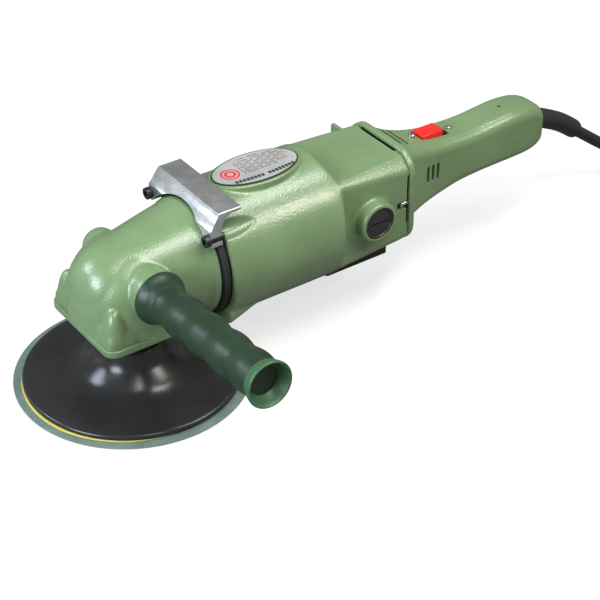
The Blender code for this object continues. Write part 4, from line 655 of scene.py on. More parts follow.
def looks():
    """Each look's slot in the record, its colour and what its surface() is told besides."""
    tone = colours()
    black, matt_ink = (0.022, 0.022, 0.022), dict(rough=(0.35, 0.5), bump=0.00002, bump_scale=900.0)
    return {
        "green_gloss_paint": (
            "green_paint", tone.paint, dict(
                other=tone.paint_thin, dirt=(0.075, 0.11, 0.05), dirt_amount=0.015, patch=18.0,
                rough=(0.25, 0.34), fine=0.12, bump=sizes().peel_depth, bump_scale=1.0 / sizes().peel_size,
                specular=1.0
            )
        ),
        **{
            name: ("green_grip", base, dict(
                dirt=(0.07, 0.1, 0.065), dirt_amount=0.12, rough=(0.36, 0.48), bump=0.00005, bump_scale=900.0
            ))
            for name, base in (("dark_green_moulding", tone.grip), ("green_end_moulding", tone.grip_end))
        },
        "black_pad_rubber": (
            "black_rubber", tone.pad, dict(
                other=(0.027, 0.027, 0.027), dirt=(0.1, 0.1, 0.095), dirt_amount=0.25, specks=700.0,
                rough=(0.2, 0.28), bump=0.00003, bump_scale=1400.0
            )
        ),
        "black_rubber": (
            "black_rubber", black, dict(
                dirt=(0.12, 0.12, 0.11), dirt_amount=0.25, rough=(0.45, 0.62), bump=0.00008, bump_scale=1500.0
            )
        ),
        "cord_rubber": (
            "black_rubber", tone.cord, dict(
                dirt=(0.14, 0.14, 0.12), dirt_amount=0.25, rough=(0.42, 0.58), bump=0.00006, bump_scale=1300.0
            )
        ),
        "black_moulding": (
            "black_plastic", black, dict(
                dirt=(0.11, 0.11, 0.1), dirt_amount=0.22, rough=(0.34, 0.5), bump=0.00005, bump_scale=1600.0
            )
        ),
        "bare_cast_aluminium": (
            "cast_aluminium", tone.cast, dict(
                other=(0.7, 0.72, 0.71), dirt=(0.1, 0.11, 0.09), dirt_amount=0.55, patch=60.0, specks=260.0,
                rough=(0.24, 0.42), smears=90.0, metallic=0.9, bump=0.0001, streak=(26.0, 1.5, 26.0),
                streak_scale=32.0
            )
        ),
        "turned_steel": (
            "steel", (0.58, 0.58, 0.57), dict(
                dirt=(0.2, 0.18, 0.15), dirt_amount=0.3, rough=(0.18, 0.34), metallic=1.0, bump=0.00003,
                streak=(1.0, 1.0, 24.0), streak_scale=160.0
            )
        ),
        "blackened_steel": (
            "black_plastic", (0.045, 0.045, 0.048), dict(
                dirt=(0.2, 0.19, 0.17), dirt_amount=0.3, rough=(0.28, 0.42), metallic=0.8, bump=0.00004,
                bump_scale=1500.0
            )
        ),
        "laminated_steel": (
            "laminated_steel", (0.22, 0.22, 0.23), dict(
                dirt=(0.1, 0.07, 0.05), dirt_amount=0.35, rough=(0.38, 0.55), metallic=1.0, bump=0.0001,
                streak=(60.0, 1.0, 1.0), streak_scale=30.0
            )
        ),
        "varnished_copper": (
            "copper", (0.62, 0.23, 0.08), dict(
                other=(0.5, 0.17, 0.06), dirt=(0.12, 0.04, 0.02), dirt_amount=0.4, rough=(0.25, 0.4),
                metallic=1.0, bump=0.00015, streak=(30.0, 1.0, 1.0), streak_scale=40.0
            )
        ),
        "turned_brass": (
            "brass", (0.72, 0.5, 0.18), dict(
                dirt=(0.22, 0.14, 0.05), dirt_amount=0.35, rough=(0.2, 0.36), metallic=1.0, bump=0.00003,
                streak=(1.0, 1.0, 20.0), streak_scale=120.0
            )
        ),
        "pressed_carbon": (
            "carbon", (0.018, 0.018, 0.018), dict(rough=(0.45, 0.65), bump=0.00006, bump_scale=1800.0)
        ),
        "red_switch_plastic": (
            "red_plastic", tone.switch, dict(
                other=(0.86, 0.022, 0.016), dirt=(0.3, 0.02, 0.01), dirt_amount=0.15, rough=(0.22, 0.34),
                bump=0.00003, bump_scale=1200.0, coat=0.3
            )
        ),
        "yellow_fibre": (
            "yellow_fibre", tone.fibre, dict(
                dirt=(0.3, 0.2, 0.02), dirt_amount=0.4, rough=(0.5, 0.7), bump=0.0001, bump_scale=1500.0
            )
        ),
        # Small cells over the disc's resin, some bright and some dark.
        "abrasive_grains": (
            "abrasive", tone.disc, dict(
                other=(0.17, 0.245, 0.215), dirt=(0.35, 0.45, 0.42), dirt_amount=0.55, specks=1500.0,
                patch=45.0, rough=(0.55, 0.8), bump=0.0003, bump_scale=1500.0, fine=0.6
            )
        ),
        "plate_metal": (
            "plate_aluminium", tone.plate, dict(
                other=(0.8, 0.82, 0.81), dirt=(0.3, 0.31, 0.3), dirt_amount=0.25, rough=(0.28, 0.42),
                metallic=0.6, bump=0.00002, streak=(1.0, 40.0, 1.0), streak_scale=30.0
            )
        ),
        "plate_border_ink": ("plate_aluminium", tone.ink, matt_ink),
        "plate_mark_ink": ("plate_aluminium", tone.mark, matt_ink),
        "plate_print_ink": ("plate_aluminium", (0.16, 0.1, 0.1), {**matt_ink, "rough": (0.4, 0.5)}),
        "plate_bold_ink": ("plate_aluminium", tone.ink, {**matt_ink, "rough": (0.4, 0.5)}),
    }


def material(look):
    _, base, settings = looks()[look]
    return surface(look, base, **settings)


def finish(piece, look, replaced=(), angle=35, body="frame"):
    """Gives a finished piece its material, shading and body, and hides the CAD nodes that it replaces."""
    piece.data.materials.clear()
    piece.data.materials.append(material(look))
    piece.data.shade_smooth()
    piece.data.set_sharp_from_angle(angle=math.radians(angle))
    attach(piece, body)
    if replaced:
        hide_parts(*replaced)
    return piece


# ---------------------------------------------------------------- geometry trees


@made_once("copies_on_points")
def copies_tree(name):
    """Puts a copy of a template on each point of the geometry that comes in."""
    tree = bpy.data.node_groups.new(name, "GeometryNodeTree")
    for label, kind in (
        ("Geometry", "NodeSocketGeometry"), ("Template", "NodeSocketObject"), ("Turn", "NodeSocketFloat"),
        ("Material", "NodeSocketMaterial")
    ):
        tree.interface.new_socket(label, in_out="INPUT", socket_type=kind)
    tree.interface.new_socket("Geometry", in_out="OUTPUT", socket_type="NodeSocketGeometry")
    start, end = tree.nodes.new("NodeGroupInput").outputs, tree.nodes.new("NodeGroupOutput")
    template = {"Object": start["Template"]}
    info = add(tree, "GeometryNodeObjectInfo", template, transform_space="ORIGINAL")
    index = tree.nodes.new("GeometryNodeInputIndex")
    turn = maths(tree, "MULTIPLY", index.outputs[0], start["Turn"])
    spin = add(tree, "ShaderNodeCombineXYZ", {"Z": turn}).outputs[0]
    inputs = {"Points": start["Geometry"], "Instance": info.outputs["Geometry"], "Rotation": spin}
    put = add(tree, "GeometryNodeInstanceOnPoints", inputs)
    real = add(tree, "GeometryNodeRealizeInstances", {0: put.outputs["Instances"]})
    inputs = {"Geometry": real.outputs[0], "Material": start["Material"]}
    painted = add(tree, "GeometryNodeSetMaterial", inputs)
    tree.links.new(painted.outputs[0], end.inputs[0])
    return tree


def copies(name, template, look, places, turn=0.0):
    """A plain mesh of a template's copies at some places, each turned further; the template is used up."""
    mesh = bpy.data.meshes.new(name)
    mesh.from_pydata(places, [], [])
    made = new_object(name, mesh)
    modifier = made.modifiers.new("grow", "NODES")
    modifier.node_group = copies_tree()
    values = {"Template": template, "Material": material(look), "Turn": turn}
    for item in modifier.node_group.interface.items_tree:
        if item.in_out == "INPUT" and item.name in values:
            modifier[item.identifier] = values[item.name]
    bake(made)
    remove(template)
    return made


# ---------------------------------------------------------------- operators


class SanderOperator:
    bl_options = {"REGISTER", "UNDO"}

    def execute(self, context):
        self.make(context)
        return {"FINISHED"}


class SANDER_OT_camera(SanderOperator, bpy.types.Operator):
    """Adds the camera"""

    bl_idname = "sander.camera"
    bl_label = "Camera"

    def make(self, context):
        studio = context.scene.sander_studio
        camera = bpy.data.cameras.new("studio_camera")
        camera.sensor_width = 36.0
        camera.lens = studio.focal
        camera.clip_end = 20.0
        holder = bpy.data.objects.new("studio_camera", camera)
        context.scene.collection.objects.link(holder)
        flat = math.cos(studio.elevation)
        turn = studio.azimuth
        back = Vector((math.sin(turn) * flat, -math.cos(turn) * flat, math.sin(studio.elevation)))
        target = Vector(studio.target)
        holder.location = target + back * studio.distance
        holder.rotation_euler = (-back).to_track_quat("-Z", "Y").to_euler()
        context.scene.camera = holder


SLEEVE_LENGTH = 0.06
CORD_RADIUS = (high("cord_coil").z - low("cord_coil").z) / 4
ROUTE_OUT = (
    (0.388, 0.0, 0.0924), (0.391, 0.0, 0.092), (0.401, 0.0, 0.0888), (0.424, 0.0, 0.0772),
    (0.449, -0.001, 0.0592), (0.472, -0.003, 0.0425), (0.496, -0.007, 0.0265), (0.52, -0.015, 0.013),
    (0.542, -0.028, 0.0065), (0.559, -0.046, 0.0052)
)
ROUTE_TAIL = ((0.474, -0.1727, 0.014), (0.457, -0.1762, 0.0141), (0.44, -0.1796, 0.0142))


def along(points, start, end=None):
    """The part of a fine line between two distances along it."""
    travelled, out = 0.0, []
    for a, b in zip(points, points[1:]):
        step = (b - a).length
        if travelled + step > start and not out:
            out.append(a.lerp(b, (start - travelled) / step))
        if out:
            if end is not None and travelled + step >= end:
                out.append(a.lerp(b, (end - travelled) / step))
                return out
            out.append(b)
        travelled += step
    return out


def coil_points():
    """The turns of the coil: inwards on the floor, up at the hole, and outwards on top."""
    centre = middle("cord_coil")
    pitch = sizes().cord_pitch
    outer = high("cord_coil").x - centre.x - CORD_RADIUS
    inner = outer - 2 * pitch
    enter = Vector(ROUTE_OUT[-1])
    start_angle = math.atan2(enter.y - centre.y, enter.x - centre.x)
    enter_radius = math.hypot(enter.x - centre.x, enter.y - centre.y)
    leave_angle = math.radians(-78.5)
    floor_z, top_z = CORD_RADIUS, CORD_RADIUS * 3
    blend, rise = math.radians(70), math.radians(60)
    down = 4 * math.pi  # two turns inwards
    total = start_angle - leave_angle + 8 * math.pi  # four turns and what the two ends need
    out_turns = total - blend - down - rise
    points, steps = [], 150
    for i in range(1, steps + 1):
        turn = total * i / steps
        if turn < blend:
            t = eased(turn / blend)
            radius = enter_radius + (outer - enter_radius) * t
            z = enter.z + (floor_z - enter.z) * t
        elif turn < blend + down:
            radius = outer - 2 * pitch * (turn - blend) / down
            z = floor_z
        elif turn < blend + down + rise:
            t = (turn - blend - down) / rise
            radius = inner
            z = floor_z + (top_z - floor_z) * eased(t)
        else:
            radius = inner + 2 * pitch * (turn - blend - down - rise) / out_turns
            z = top_z
        angle = start_angle - turn
        points.append(
            Vector((centre.x + radius * math.cos(angle), centre.y + radius * math.sin(angle), z))
        )
    return points


class SANDER_OT_cord(SanderOperator, bpy.types.Operator):
    """Adds the mains cord with its sleeve, coil and plug"""

    bl_idname = "sander.cord"
    bl_label = "Cord and Plug"

    def make(self, context):
        out = catmull(ROUTE_OUT, 10)
        sleeve_line = along(out, 0.0, SLEEVE_LENGTH)
        radius_in, radius_out = 0.0088, 0.0081

        def sleeve_radius(t):
            rounding = max(0.0, t - 0.97) / 0.03
            return radius_in + (radius_out - radius_in) * t - 0.0006 * rounding

        sleeve = tube("strain_relief", catmull(sleeve_line, 4), sleeve_radius, 40)
        finish(sleeve, "cord_rubber", ["cord_sleeve"])
        free = along(out, SLEEVE_LENGTH - 0.001)
        every = free[:: max(1, len(free) // 26)]
        if every[-1] != free[-1]:
            every.append(free[-1])
        route = [*every, *coil_points(), *(Vector(p) for p in ROUTE_TAIL)]
        curve = bpy.data.curves.new("mains_cord_run", "CURVE")
        curve.dimensions = "3D"
        curve.bevel_depth = CORD_RADIUS
        curve.bevel_resolution = 5
        curve.resolution_u = 4
        curve.use_fill_caps = True
        spline = curve.splines.new("BEZIER")
        spline.bezier_points.add(len(route) - 1)
        for point, place in zip(spline.bezier_points, route):
            point.co = place
            point.handle_left_type = point.handle_right_type = "AUTO"
        curve.materials.append(material("cord_rubber"))
        cord = new_object("mains_cord_run", curve)
        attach(cord, "frame")
        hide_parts("mains_cord", "cord_coil", "cord_tail")
        plug, pins = self.plug()

    def plug(self):
        """The moulded plug, its boot with grip ridges, and two round pins."""
        end = Vector(ROUTE_TAIL[-1])
        ahead = (end - Vector(ROUTE_TAIL[-2])).normalized()
        ahead.z = 0
        ahead.normalize()
        profile = [
            (0, 0.056), (0.013, 0.056), (0.014, 0.0545), (0.014, 0.047), (0.0132, 0.0455),
            (0.0132, 0.0435), (0.014, 0.042), (0.014, 0.039), (0.0132, 0.0375), (0.0132, 0.0355),
            (0.014, 0.034), (0.0138, 0.03), (0.0112, 0.023), (0.0075, 0.0195)
        ]
        for i in range(4):
            z = 0.018 - i * 0.0042
            profile += [(0.0078 - i * 0.0003, z), (0.0078 - i * 0.0003, z - 0.002)]
            profile += [(0.0066 - i * 0.0002, z - 0.0026), (0.0066 - i * 0.0002, z - 0.0038)]
        profile += [(0.006, 0.0003), (0, 0.0003)]
        plug = turned("plug_moulding", profile, Matrix.Translation(end) @ aimed(ahead), 64, 0.0007, 3)
        finish(plug, "black_moulding", ["plug_body"])
        pins = []
        for name in ("plug_pin_1", "plug_pin_2"):
            place = Matrix.Translation(middle(name) - ahead * 0.0095) @ aimed(ahead)
            shape = ((0, 0.019), (0.0024, 0.019), (0.0024, 0.0002), (0, 0.0002))
            pin = turned(f"{name}_turned", shape, place, 32, 0.0012, 5)
            finish(pin, "turned_brass", [name])
            pins.append(pin)
        return plug, pins


class SANDER_OT_disc(SanderOperator, bpy.types.Operator):
    """Adds the abrasive disc, the fibre disc, the backing pad, the nut and the spindle"""

    bl_idname = "sander.disc"
    bl_label = "Disc and Pad"

    def make(self, context):
        rim = high("abrasive_disc").x
        disc = (
            (0.0115, 0.006), (0.022, 0.006), (0.03, 0.001), (rim - 0.0006, 0.0011), (rim, 0.0006),
            (rim - 0.0003, 0.0), (0.03, 0.0), (0.022, 0.005), (0.0115, 0.005)
        )
        made = turned("abrasive_disc_grains", disc, None, 180, 0.0003, 2)
        finish(made, "abrasive_grains", ["abrasive_disc"], body="spindle_body")
        liner_rim = high("liner_disc").x - 0.0035
        low_z, high_z = low("liner_disc").z, low("liner_disc").z + 0.0007
        liner = ((0.032, high_z), (liner_rim, high_z), (liner_rim, low_z), (0.032, low_z))
        made = turned("fibre_disc", liner, shift(-0.0034, -0.0007), 180, 0.0004, 3)
        finish(made, "yellow_fibre", ["liner_disc"], body="spindle_body")
        base_low = high_z + 0.0001
        pad_rim = high("backing_pad").x + 0.0006
        profile = (
            (0.0073, 0.034, 0.0004), (0.0215, 0.034, 0.0016), (0.0232, 0.033, 0.0016),
            (0.0243, 0.029, 0.003), (0.0272, 0.0222, 0.007), (0.0338, 0.0158, 0.007),
            (0.0405, 0.0106, 0.006), (0.048, 0.0078, 0.006), (0.06, 0.0068, 0.004),
            (pad_rim - 0.006, 0.0062, 0.003), (pad_rim - 0.0012, 0.0058, 0.001),
            (pad_rim, base_low + 0.002, 0.001), (pad_rim - 0.0002, base_low, 0.0004),
            (0.0305, base_low, 0.0004), (0.023, 0.0063, 0.0006), (0.0073, 0.0063, 0.0003)
        )
        made = turned("moulded_backing_pad", profile, None, 180, 0.001, 6)
        finish(made, "black_pad_rubber", ["backing_pad"], 50, body="spindle_body")
        self.nut()
        self.spindle()

    def nut(self):
        profile = (
            (0.0073, 0.006), (0.0112, 0.006), (0.0112, 0.0047), (0.0185, 0.0047), (0.0185, 0.0026),
            (0.0165, 0.0019), (0.0073, 0.0019)
        )
        nut = turned("disc_clamp_nut", profile, None, 96, 0.0003, 3)
        boolean(nut, [rod("key_hole", 0.0022, (x, 0, 0), (x, 0, 0.0038), 24) for x in (-0.014, 0.014)])
        finish(nut, "turned_steel", ["clamp_nut"], body="spindle_body")

    def spindle(self):
        bottom, top = low("spindle").z, high("spindle").z
        thread, z, pitch = [], 0.0335, 0.0016
        while z > bottom + 0.0012:
            thread += [(0.0069, z), (0.0063, z - pitch / 2)]
            z -= pitch
        profile = [
            (0, top), (0.0057, top), (0.0057, 0.0776), (0.0094, 0.0776), (0.0094, 0.0709),
            (0.0081, 0.0709), (0.0081, 0.0583), (0.011, 0.0582), (0.011, 0.0343), (0.0069, 0.0343),
            *thread, (0.006, bottom), (0, bottom)
        ]
        made = turned("ground_spindle", profile, None, 64, 0.0002, 2)
        finish(made, "turned_steel", ["spindle"], body="spindle_body")


class SANDER_OT_gearhead(SanderOperator, bpy.types.Operator):
    """Adds the gearhead casting and its cover"""

    bl_idname = "sander.gearhead"
    bl_label = "Gearhead"

    def columns(self):
        return [tuple(middle(f"cover_screw_{n}")[:2]) for n in range(1, 5)]

    def screw_holes(self, top):
        return [rod("screw_hole", SCREW_HOLE, (x, y, 0.04), (x, y, top), 16) for x, y in self.columns()]

    def make(self, context):
        foot = CASTING_BOTTOM - 0.004
        neck = (
            (0, 0.0535), (0.046, 0.0535), (0.046, 0.048, 0.001), (0.0441, 0.0448, 0.004),
            (0.0415, 0.03, 0.02), (0.0386, 0.015, 0.02), (0.0356, 0.0, 0.02), (0.0335, -0.015, 0.01),
            (0.0305, -0.025, 0.01), (0.024, -0.035, 0.01), (0.013, -0.0415, 0.01), (0, -0.0435)
        )
        dome = (
            (0, 0.119), (0.0105, 0.1188, 0.01), (0.0215, 0.1157, 0.01), (0.0335, 0.1075, 0.01),
            (0.0411, 0.095, 0.01), (0.0445, 0.08, 0.01), (0.045, foot), (0, foot)
        )
        cover_low, cover_high = low("gearbox_cover"), high("gearbox_cover")
        parts = [
            turned("neck", neck, ON_AXIS, 160, 0.0), turned("dome", dome, None, 160, 0.0),
            self.tower(cover_low, cover_high, foot)
        ]
        column = (
            (0, 0.088), (0.003, 0.0868, 0.003), (0.0058, 0.0825, 0.004), (0.008, 0.0755, 0.004),
            (0.0094, 0.068, 0.004), (0.0099, foot), (0, foot)
        )
        parts += [turned("column", column, shift(x, y), 48, 0.0) for x, y in self.columns()]
        parts.append(rod("handle_boss", 0.0176, (0, -0.02, HANDLE_Z), (0, -0.043, HANDLE_Z), 96))
        spare = (
            (0, 0.0475), (0.0075, 0.0468, 0.003), (0.0125, 0.0432, 0.003), (0.014, 0.037, 0.003),
            (0.0142, 0.02), (0, 0.02)
        )
        parts.append(turned("spare_boss", spare, shift(z=HANDLE_Z) @ TO_Y, 64, 0.0))
        head = melt("gearhead_casting", parts, sizes().casting_grain, sizes().blend_passes)
        room = (
            (0, 0.1122), (0.0103, 0.1122), (0.0103, 0.098), (0.018, 0.098), (0.023, 0.0905),
            (0.031, 0.0845), (0.031, 0.04), (0, 0.04)
        )
        bore = (
            (0, 0.07), (0.037, 0.07), (0.037, 0.05), (0.0163, 0.048), (0.0163, 0.0367), (0.013, 0.0367),
            (0.013, 0.0), (0, 0.0)
        )
        cutters = [
            block("under_cut", (-0.08, -0.08, 0.02), (0.034, 0.08, CASTING_BOTTOM)),
            turned("gear_room", room, None, 64, 0.0), turned("neck_bore", bore, ON_AXIS, 64, 0.0),
            rod("stud_hole", 0.0053, (0, -0.028, HANDLE_Z), (0, -0.06, HANDLE_Z), 24)
        ]
        cutters += self.screw_holes(0.0722)
        boolean(head, cutters)
        finish(head, "green_gloss_paint", ["gear_housing"], 40)
        self.cover(cover_low, cover_high)

    def tower(self, cover_low, cover_high, foot):
        """The square lower part of the casting, which leans in at its top."""
        centre = (cover_low + cover_high) / 2
        half = (cover_high - cover_low) / 2
        stations = (
            (foot, 0.0022, 0.0045), (0.066, 0.0024, 0.0045), (0.072, 0.004, 0.006),
            (0.078, 0.0085, 0.009), (0.083, 0.014, 0.012)
        )
        rings = []
        for z, inset, corner in stations:
            flat = round_rectangle(half.x - inset, half.y - inset, corner, 7)
            rings.append([Vector((centre.x + x, centre.y + y, z)) for x, y in flat])
        return skin("tower", rings)

    def cover(self, cover_low, cover_high):
        corners = (*cover_low[:2], COVER_BOTTOM), (*cover_high[:2], COVER_TOP)
        plate = block("gearhead_cover", *corners, 0.01, 0.0007)
        profile = ((0, 0.059), (0.025, 0.059), (0.025, 0.0515), (0.0, 0.0515))
        boss = turned("cover_boss", profile, None, 96, 0.0008)
        spigot = rod("cover_spigot", 0.0307, (0, 0, 0.0575), (0, 0, 0.0675), 96)
        boolean(plate, [boss, spigot], "UNION")
        bore = ((0, 0.08), (0.0203, 0.08), (0.0203, 0.0582), (0.0118, 0.0582), (0.0118, 0.04), (0, 0.04))
        cutters = [turned("cover_bore", bore, None, 64, 0.0)]
        cutters += self.screw_holes(0.07)
        boolean(plate, cutters)
        finish(plate, "green_gloss_paint", ["gearbox_cover"])


class SANDER_OT_saddle(SanderOperator, bpy.types.Operator):
    """Adds the cast saddle and the strap under it"""

    bl_idname = "sander.saddle"
    bl_label = "Saddle and Strap"

    def make(self, context):
        front, rear = low("saddle").x, high("saddle").x
        top, bottom = high("saddle").z, low("saddle").z
        half = 0.041
        outline = (
            (-half, top), (half, top), (half + 0.0008, top - 0.012), (half + 0.0022, bottom),
            (half - 0.006, bottom), (-half + 0.006, bottom), (-half - 0.0022, bottom),
            (-half - 0.0008, top - 0.012)
        )
        turn = Matrix(((0, 0, 1, 0), (1, 0, 0, 0), (0, 1, 0, 0), (0, 0, 0, 1)))
        outline = soften(outline, 0.0012, 3, True)
        body = slab("cast_saddle", outline, rear - front, shift((front + rear) / 2) @ turn)
        stand = Matrix.Rotation(math.radians(90), 4, "X")
        front_slope = (
            (front - 0.01, top + 0.01, 0), (front + 0.0105, top + 0.01, 0),
            (front + 0.0088, top - 0.0002, 0.0045), (front + 0.0048, top - 0.0058, 0.008),
            (front, bottom + 0.012, 0.007), (front - 0.01, bottom + 0.012, 0)
        )
        leg_back = (
            (front + 0.0095, bottom - 0.01, 0), (rear + 0.01, bottom - 0.01, 0),
            (rear + 0.01, top - 0.0025, 0), (front + 0.015, top - 0.0025, 0.006),
            (front + 0.0095, top - 0.011, 0.006)
        )
        cutters = [
            slab("side_view", soften(cut, 0.002, 5, True), 0.2, stand)
            for cut in (front_slope, leg_back)
        ]
        seat, relief, relief_end = 0.0529, 0.0485, 0.0597
        arch = (
            (0, rear + 0.01), (seat, rear + 0.01), (seat, relief_end), (relief, relief_end), (relief, 0),
            (0, 0)
        )
        cutters.append(turned("arch", arch, ON_AXIS, 128, 0.0))
        for side in ("left", "right"):
            place = middle(f"saddle_bolt_{side}")
            cutters.append(
                rod("bolt_hole", 0.0033, (0.03, place.y, place.z), (0.08, place.y, place.z), 32)
            )
        boolean(body, cutters)
        round_edges(body, sizes().edge_round, 3)
        finish(body, "bare_cast_aluminium", ["saddle"], 50)
        self.strap()

    def strap(self):
        start, end = low("clamp_strap").x, high("clamp_strap").x
        outer = high("clamp_strap").y
        profile = ((0.0412, end), (outer, end), (outer, start), (0.0412, start))
        strap = turned("rubber_strap", profile, ON_AXIS, 160, 0.0005, 3)
        finish(strap, "black_rubber", ["clamp_strap"])


HOUSING_RADIUS = 0.0526
HOUSING_REAR_RADIUS = 0.0484
HOUSING_FRONT = 0.06
HOUSING_REAR = 0.2295
TAPER_START = 0.157
BLEND = 0.0015  # how near the flats come before the barrel eases into them
FLAT = 0.039
SLOT_LEFT, SLOT_RIGHT = -0.0205, 0.0232
SLOT_LOW, SLOT_HIGH = 0.0685, 0.1122
FLAT_START, FLAT_FULL = 0.157, 0.166


def barrel(name, inset, front, rear, turns=224, stations=160, round_front=0.0):
    """A round barrel along X that turns square behind, with soft corners between its flats."""
    rings = []
    for i in range(stations + 1):
        x = front + (rear - front) * i / stations
        if round_front and i < 8:
            x = front + round_front * (1 - math.cos(math.pi / 2 * i / 8))
        radius = HOUSING_RADIUS
        if x > TAPER_START:
            beyond, taper = x - TAPER_START, HOUSING_REAR - TAPER_START
            radius += (HOUSING_REAR_RADIUS - HOUSING_RADIUS) * beyond / taper
        radius -= inset
        step = eased(min(1.0, max(0.0, (x - FLAT_START + inset) / (FLAT_FULL - FLAT_START))))
        flat = (HOUSING_RADIUS + 0.004 - inset) * (1 - step) + (FLAT - inset) * step
        if round_front and i < 8:
            radius -= round_front * (1 - math.sin(math.pi / 2 * i / 8))
        ring = []
        for k in range(turns):
            a = 2 * math.pi * k / turns
            square = flat / max(abs(math.cos(a)), abs(math.sin(a)))
            near = max(BLEND - abs(square - radius), 0.0) / BLEND
            r = min(square, radius) - near * near * BLEND / 4
            ring.append(MOTOR_AXIS + Vector((x, r * math.cos(a), r * math.sin(a))))
        rings.append(ring)
    return skin(name, rings)


def around(angle, radius, x):
    turn = math.radians(angle)
    return MOTOR_AXIS + Vector((x, radius * math.cos(turn), radius * math.sin(turn)))


def oval(grow, count=128):
    """The nameplate's outline, grown all round."""
    half = (high("nameplate") - low("nameplate")) / 2 + Vector((grow, grow, 0))
    turns = [2 * math.pi * i / count for i in range(count)]
    return [(half.x * math.cos(turn), half.y * math.sin(turn)) for turn in turns]


class SANDER_OT_motor_housing(SanderOperator, bpy.types.Operator):
    """Adds the motor housing and a black strip under it, a dark piece that paints the shade line along the
    housing's underside
    """

    bl_idname = "sander.motor_housing"
    bl_label = "Motor Housing"

    def make(self, context):
        body = barrel("barrel", 0.0, HOUSING_FRONT, HOUSING_REAR, round_front=0.0015)
        wide, long = 0.01, 0.027
        turns = [math.pi * i / 24 for i in range(1, 24)]
        half_oval = [(0, long), *((wide * math.sin(a), long * math.cos(a)) for a in turns), (0, -long)]
        scoops = []
        for angle in (45, 135):
            place = around(angle, HOUSING_RADIUS + 0.0062, HOUSING_FRONT + 0.006)
            scoops.append(turned("scoop", half_oval, Matrix.Translation(place) @ TO_X, 48, 0.0))
        boolean(body, scoops)
        parts = [body]
        for angle in (225, 315):
            start = around(angle, HOUSING_RADIUS - 0.002, HOUSING_FRONT)
            end = around(angle, HOUSING_RADIUS - 0.004, HOUSING_FRONT + 0.03)
            parts.append(rod("lug", 0.009, start, end, 48, 0.0036))
        brush = middle("brush_cap_left")
        boss = (
            (0, 0.0495), (0.0157, 0.0495, 0.0006), (0.0162, 0.049, 0.0006), (0.0164, 0.036), (0, 0.036)
        )
        for sign in (-1, 1):
            parts.append(turned("boss", boss, shift(brush.x, 0, AXIS_Z) @ sideways(sign), 96, 0.0))
        seat_top = AXIS_Z + HOUSING_RADIUS + 0.001
        seat_thick = 0.03
        at_plate = shift(middle("nameplate").x, 0, seat_top - seat_thick / 2)
        parts.append(slab("plate_seat", oval(0.0022), seat_thick, at_plate))
        body = melt("motor_housing_casting", parts, sizes().casting_grain, 10)
        cutters = [barrel("motor_room", 0.004, HOUSING_FRONT - 0.003, HOUSING_REAR + 0.003, 96, 60)]
        cutters.append(block("rear_face", (HOUSING_REAR, -0.1, 0.0), (HOUSING_REAR + 0.02, 0.1, 0.2)))
        centre = Vector((brush.x, 0, AXIS_Z))
        slot_x, slot_end = HOUSING_REAR - 0.0022, HOUSING_REAR + 0.001
        notch_x, notch_half = 0.2183, 0.0036
        cutters.append(
            block("slot_top", (slot_x, SLOT_LEFT, AXIS_Z + 0.03), (slot_end, SLOT_RIGHT, 0.15))
        )
        for sign in (-1, 1):
            out = Vector((0, sign, 0))
            cutters.append(rod("holder_bore", 0.0113, centre + out * 0.03, centre + out * 0.06, 48))
            cutters.append(rod("cap_recess", 0.0134, centre + out * 0.0436, centre + out * 0.06, 96))
            near, far = sorted((sign * 0.03, sign * 0.06))
            cutters.append(block("slot_side", (slot_x, near, SLOT_LOW), (slot_end, far, SLOT_HIGH)))
            near, far = sorted((sign * 0.0329, sign * 0.06))
            corners = (notch_x, near, AXIS_Z - notch_half), (slot_end, far, AXIS_Z + notch_half)
            cutters.append(block("notch", *corners, 0.001, axis=1))
        boolean(body, cutters)
        finish(body, "green_gloss_paint", ["motor_housing"], 40)
        self.foot()

    def foot(self):
        # Painted shade: this black strip under the housing's rear is a dark piece set where the shade line
        # along the underside falls.
        lowest, highest = low("foot_strip"), high("foot_strip")
        shade_strip = block("rubber_foot", lowest, highest, 0.0025, 0.0008)
        boolean(shade_strip, [barrel("foot_seat", -0.0003, 0.15, HOUSING_REAR + 0.02, 96, 60)])
        finish(shade_strip, "black_rubber", ["foot_strip"])


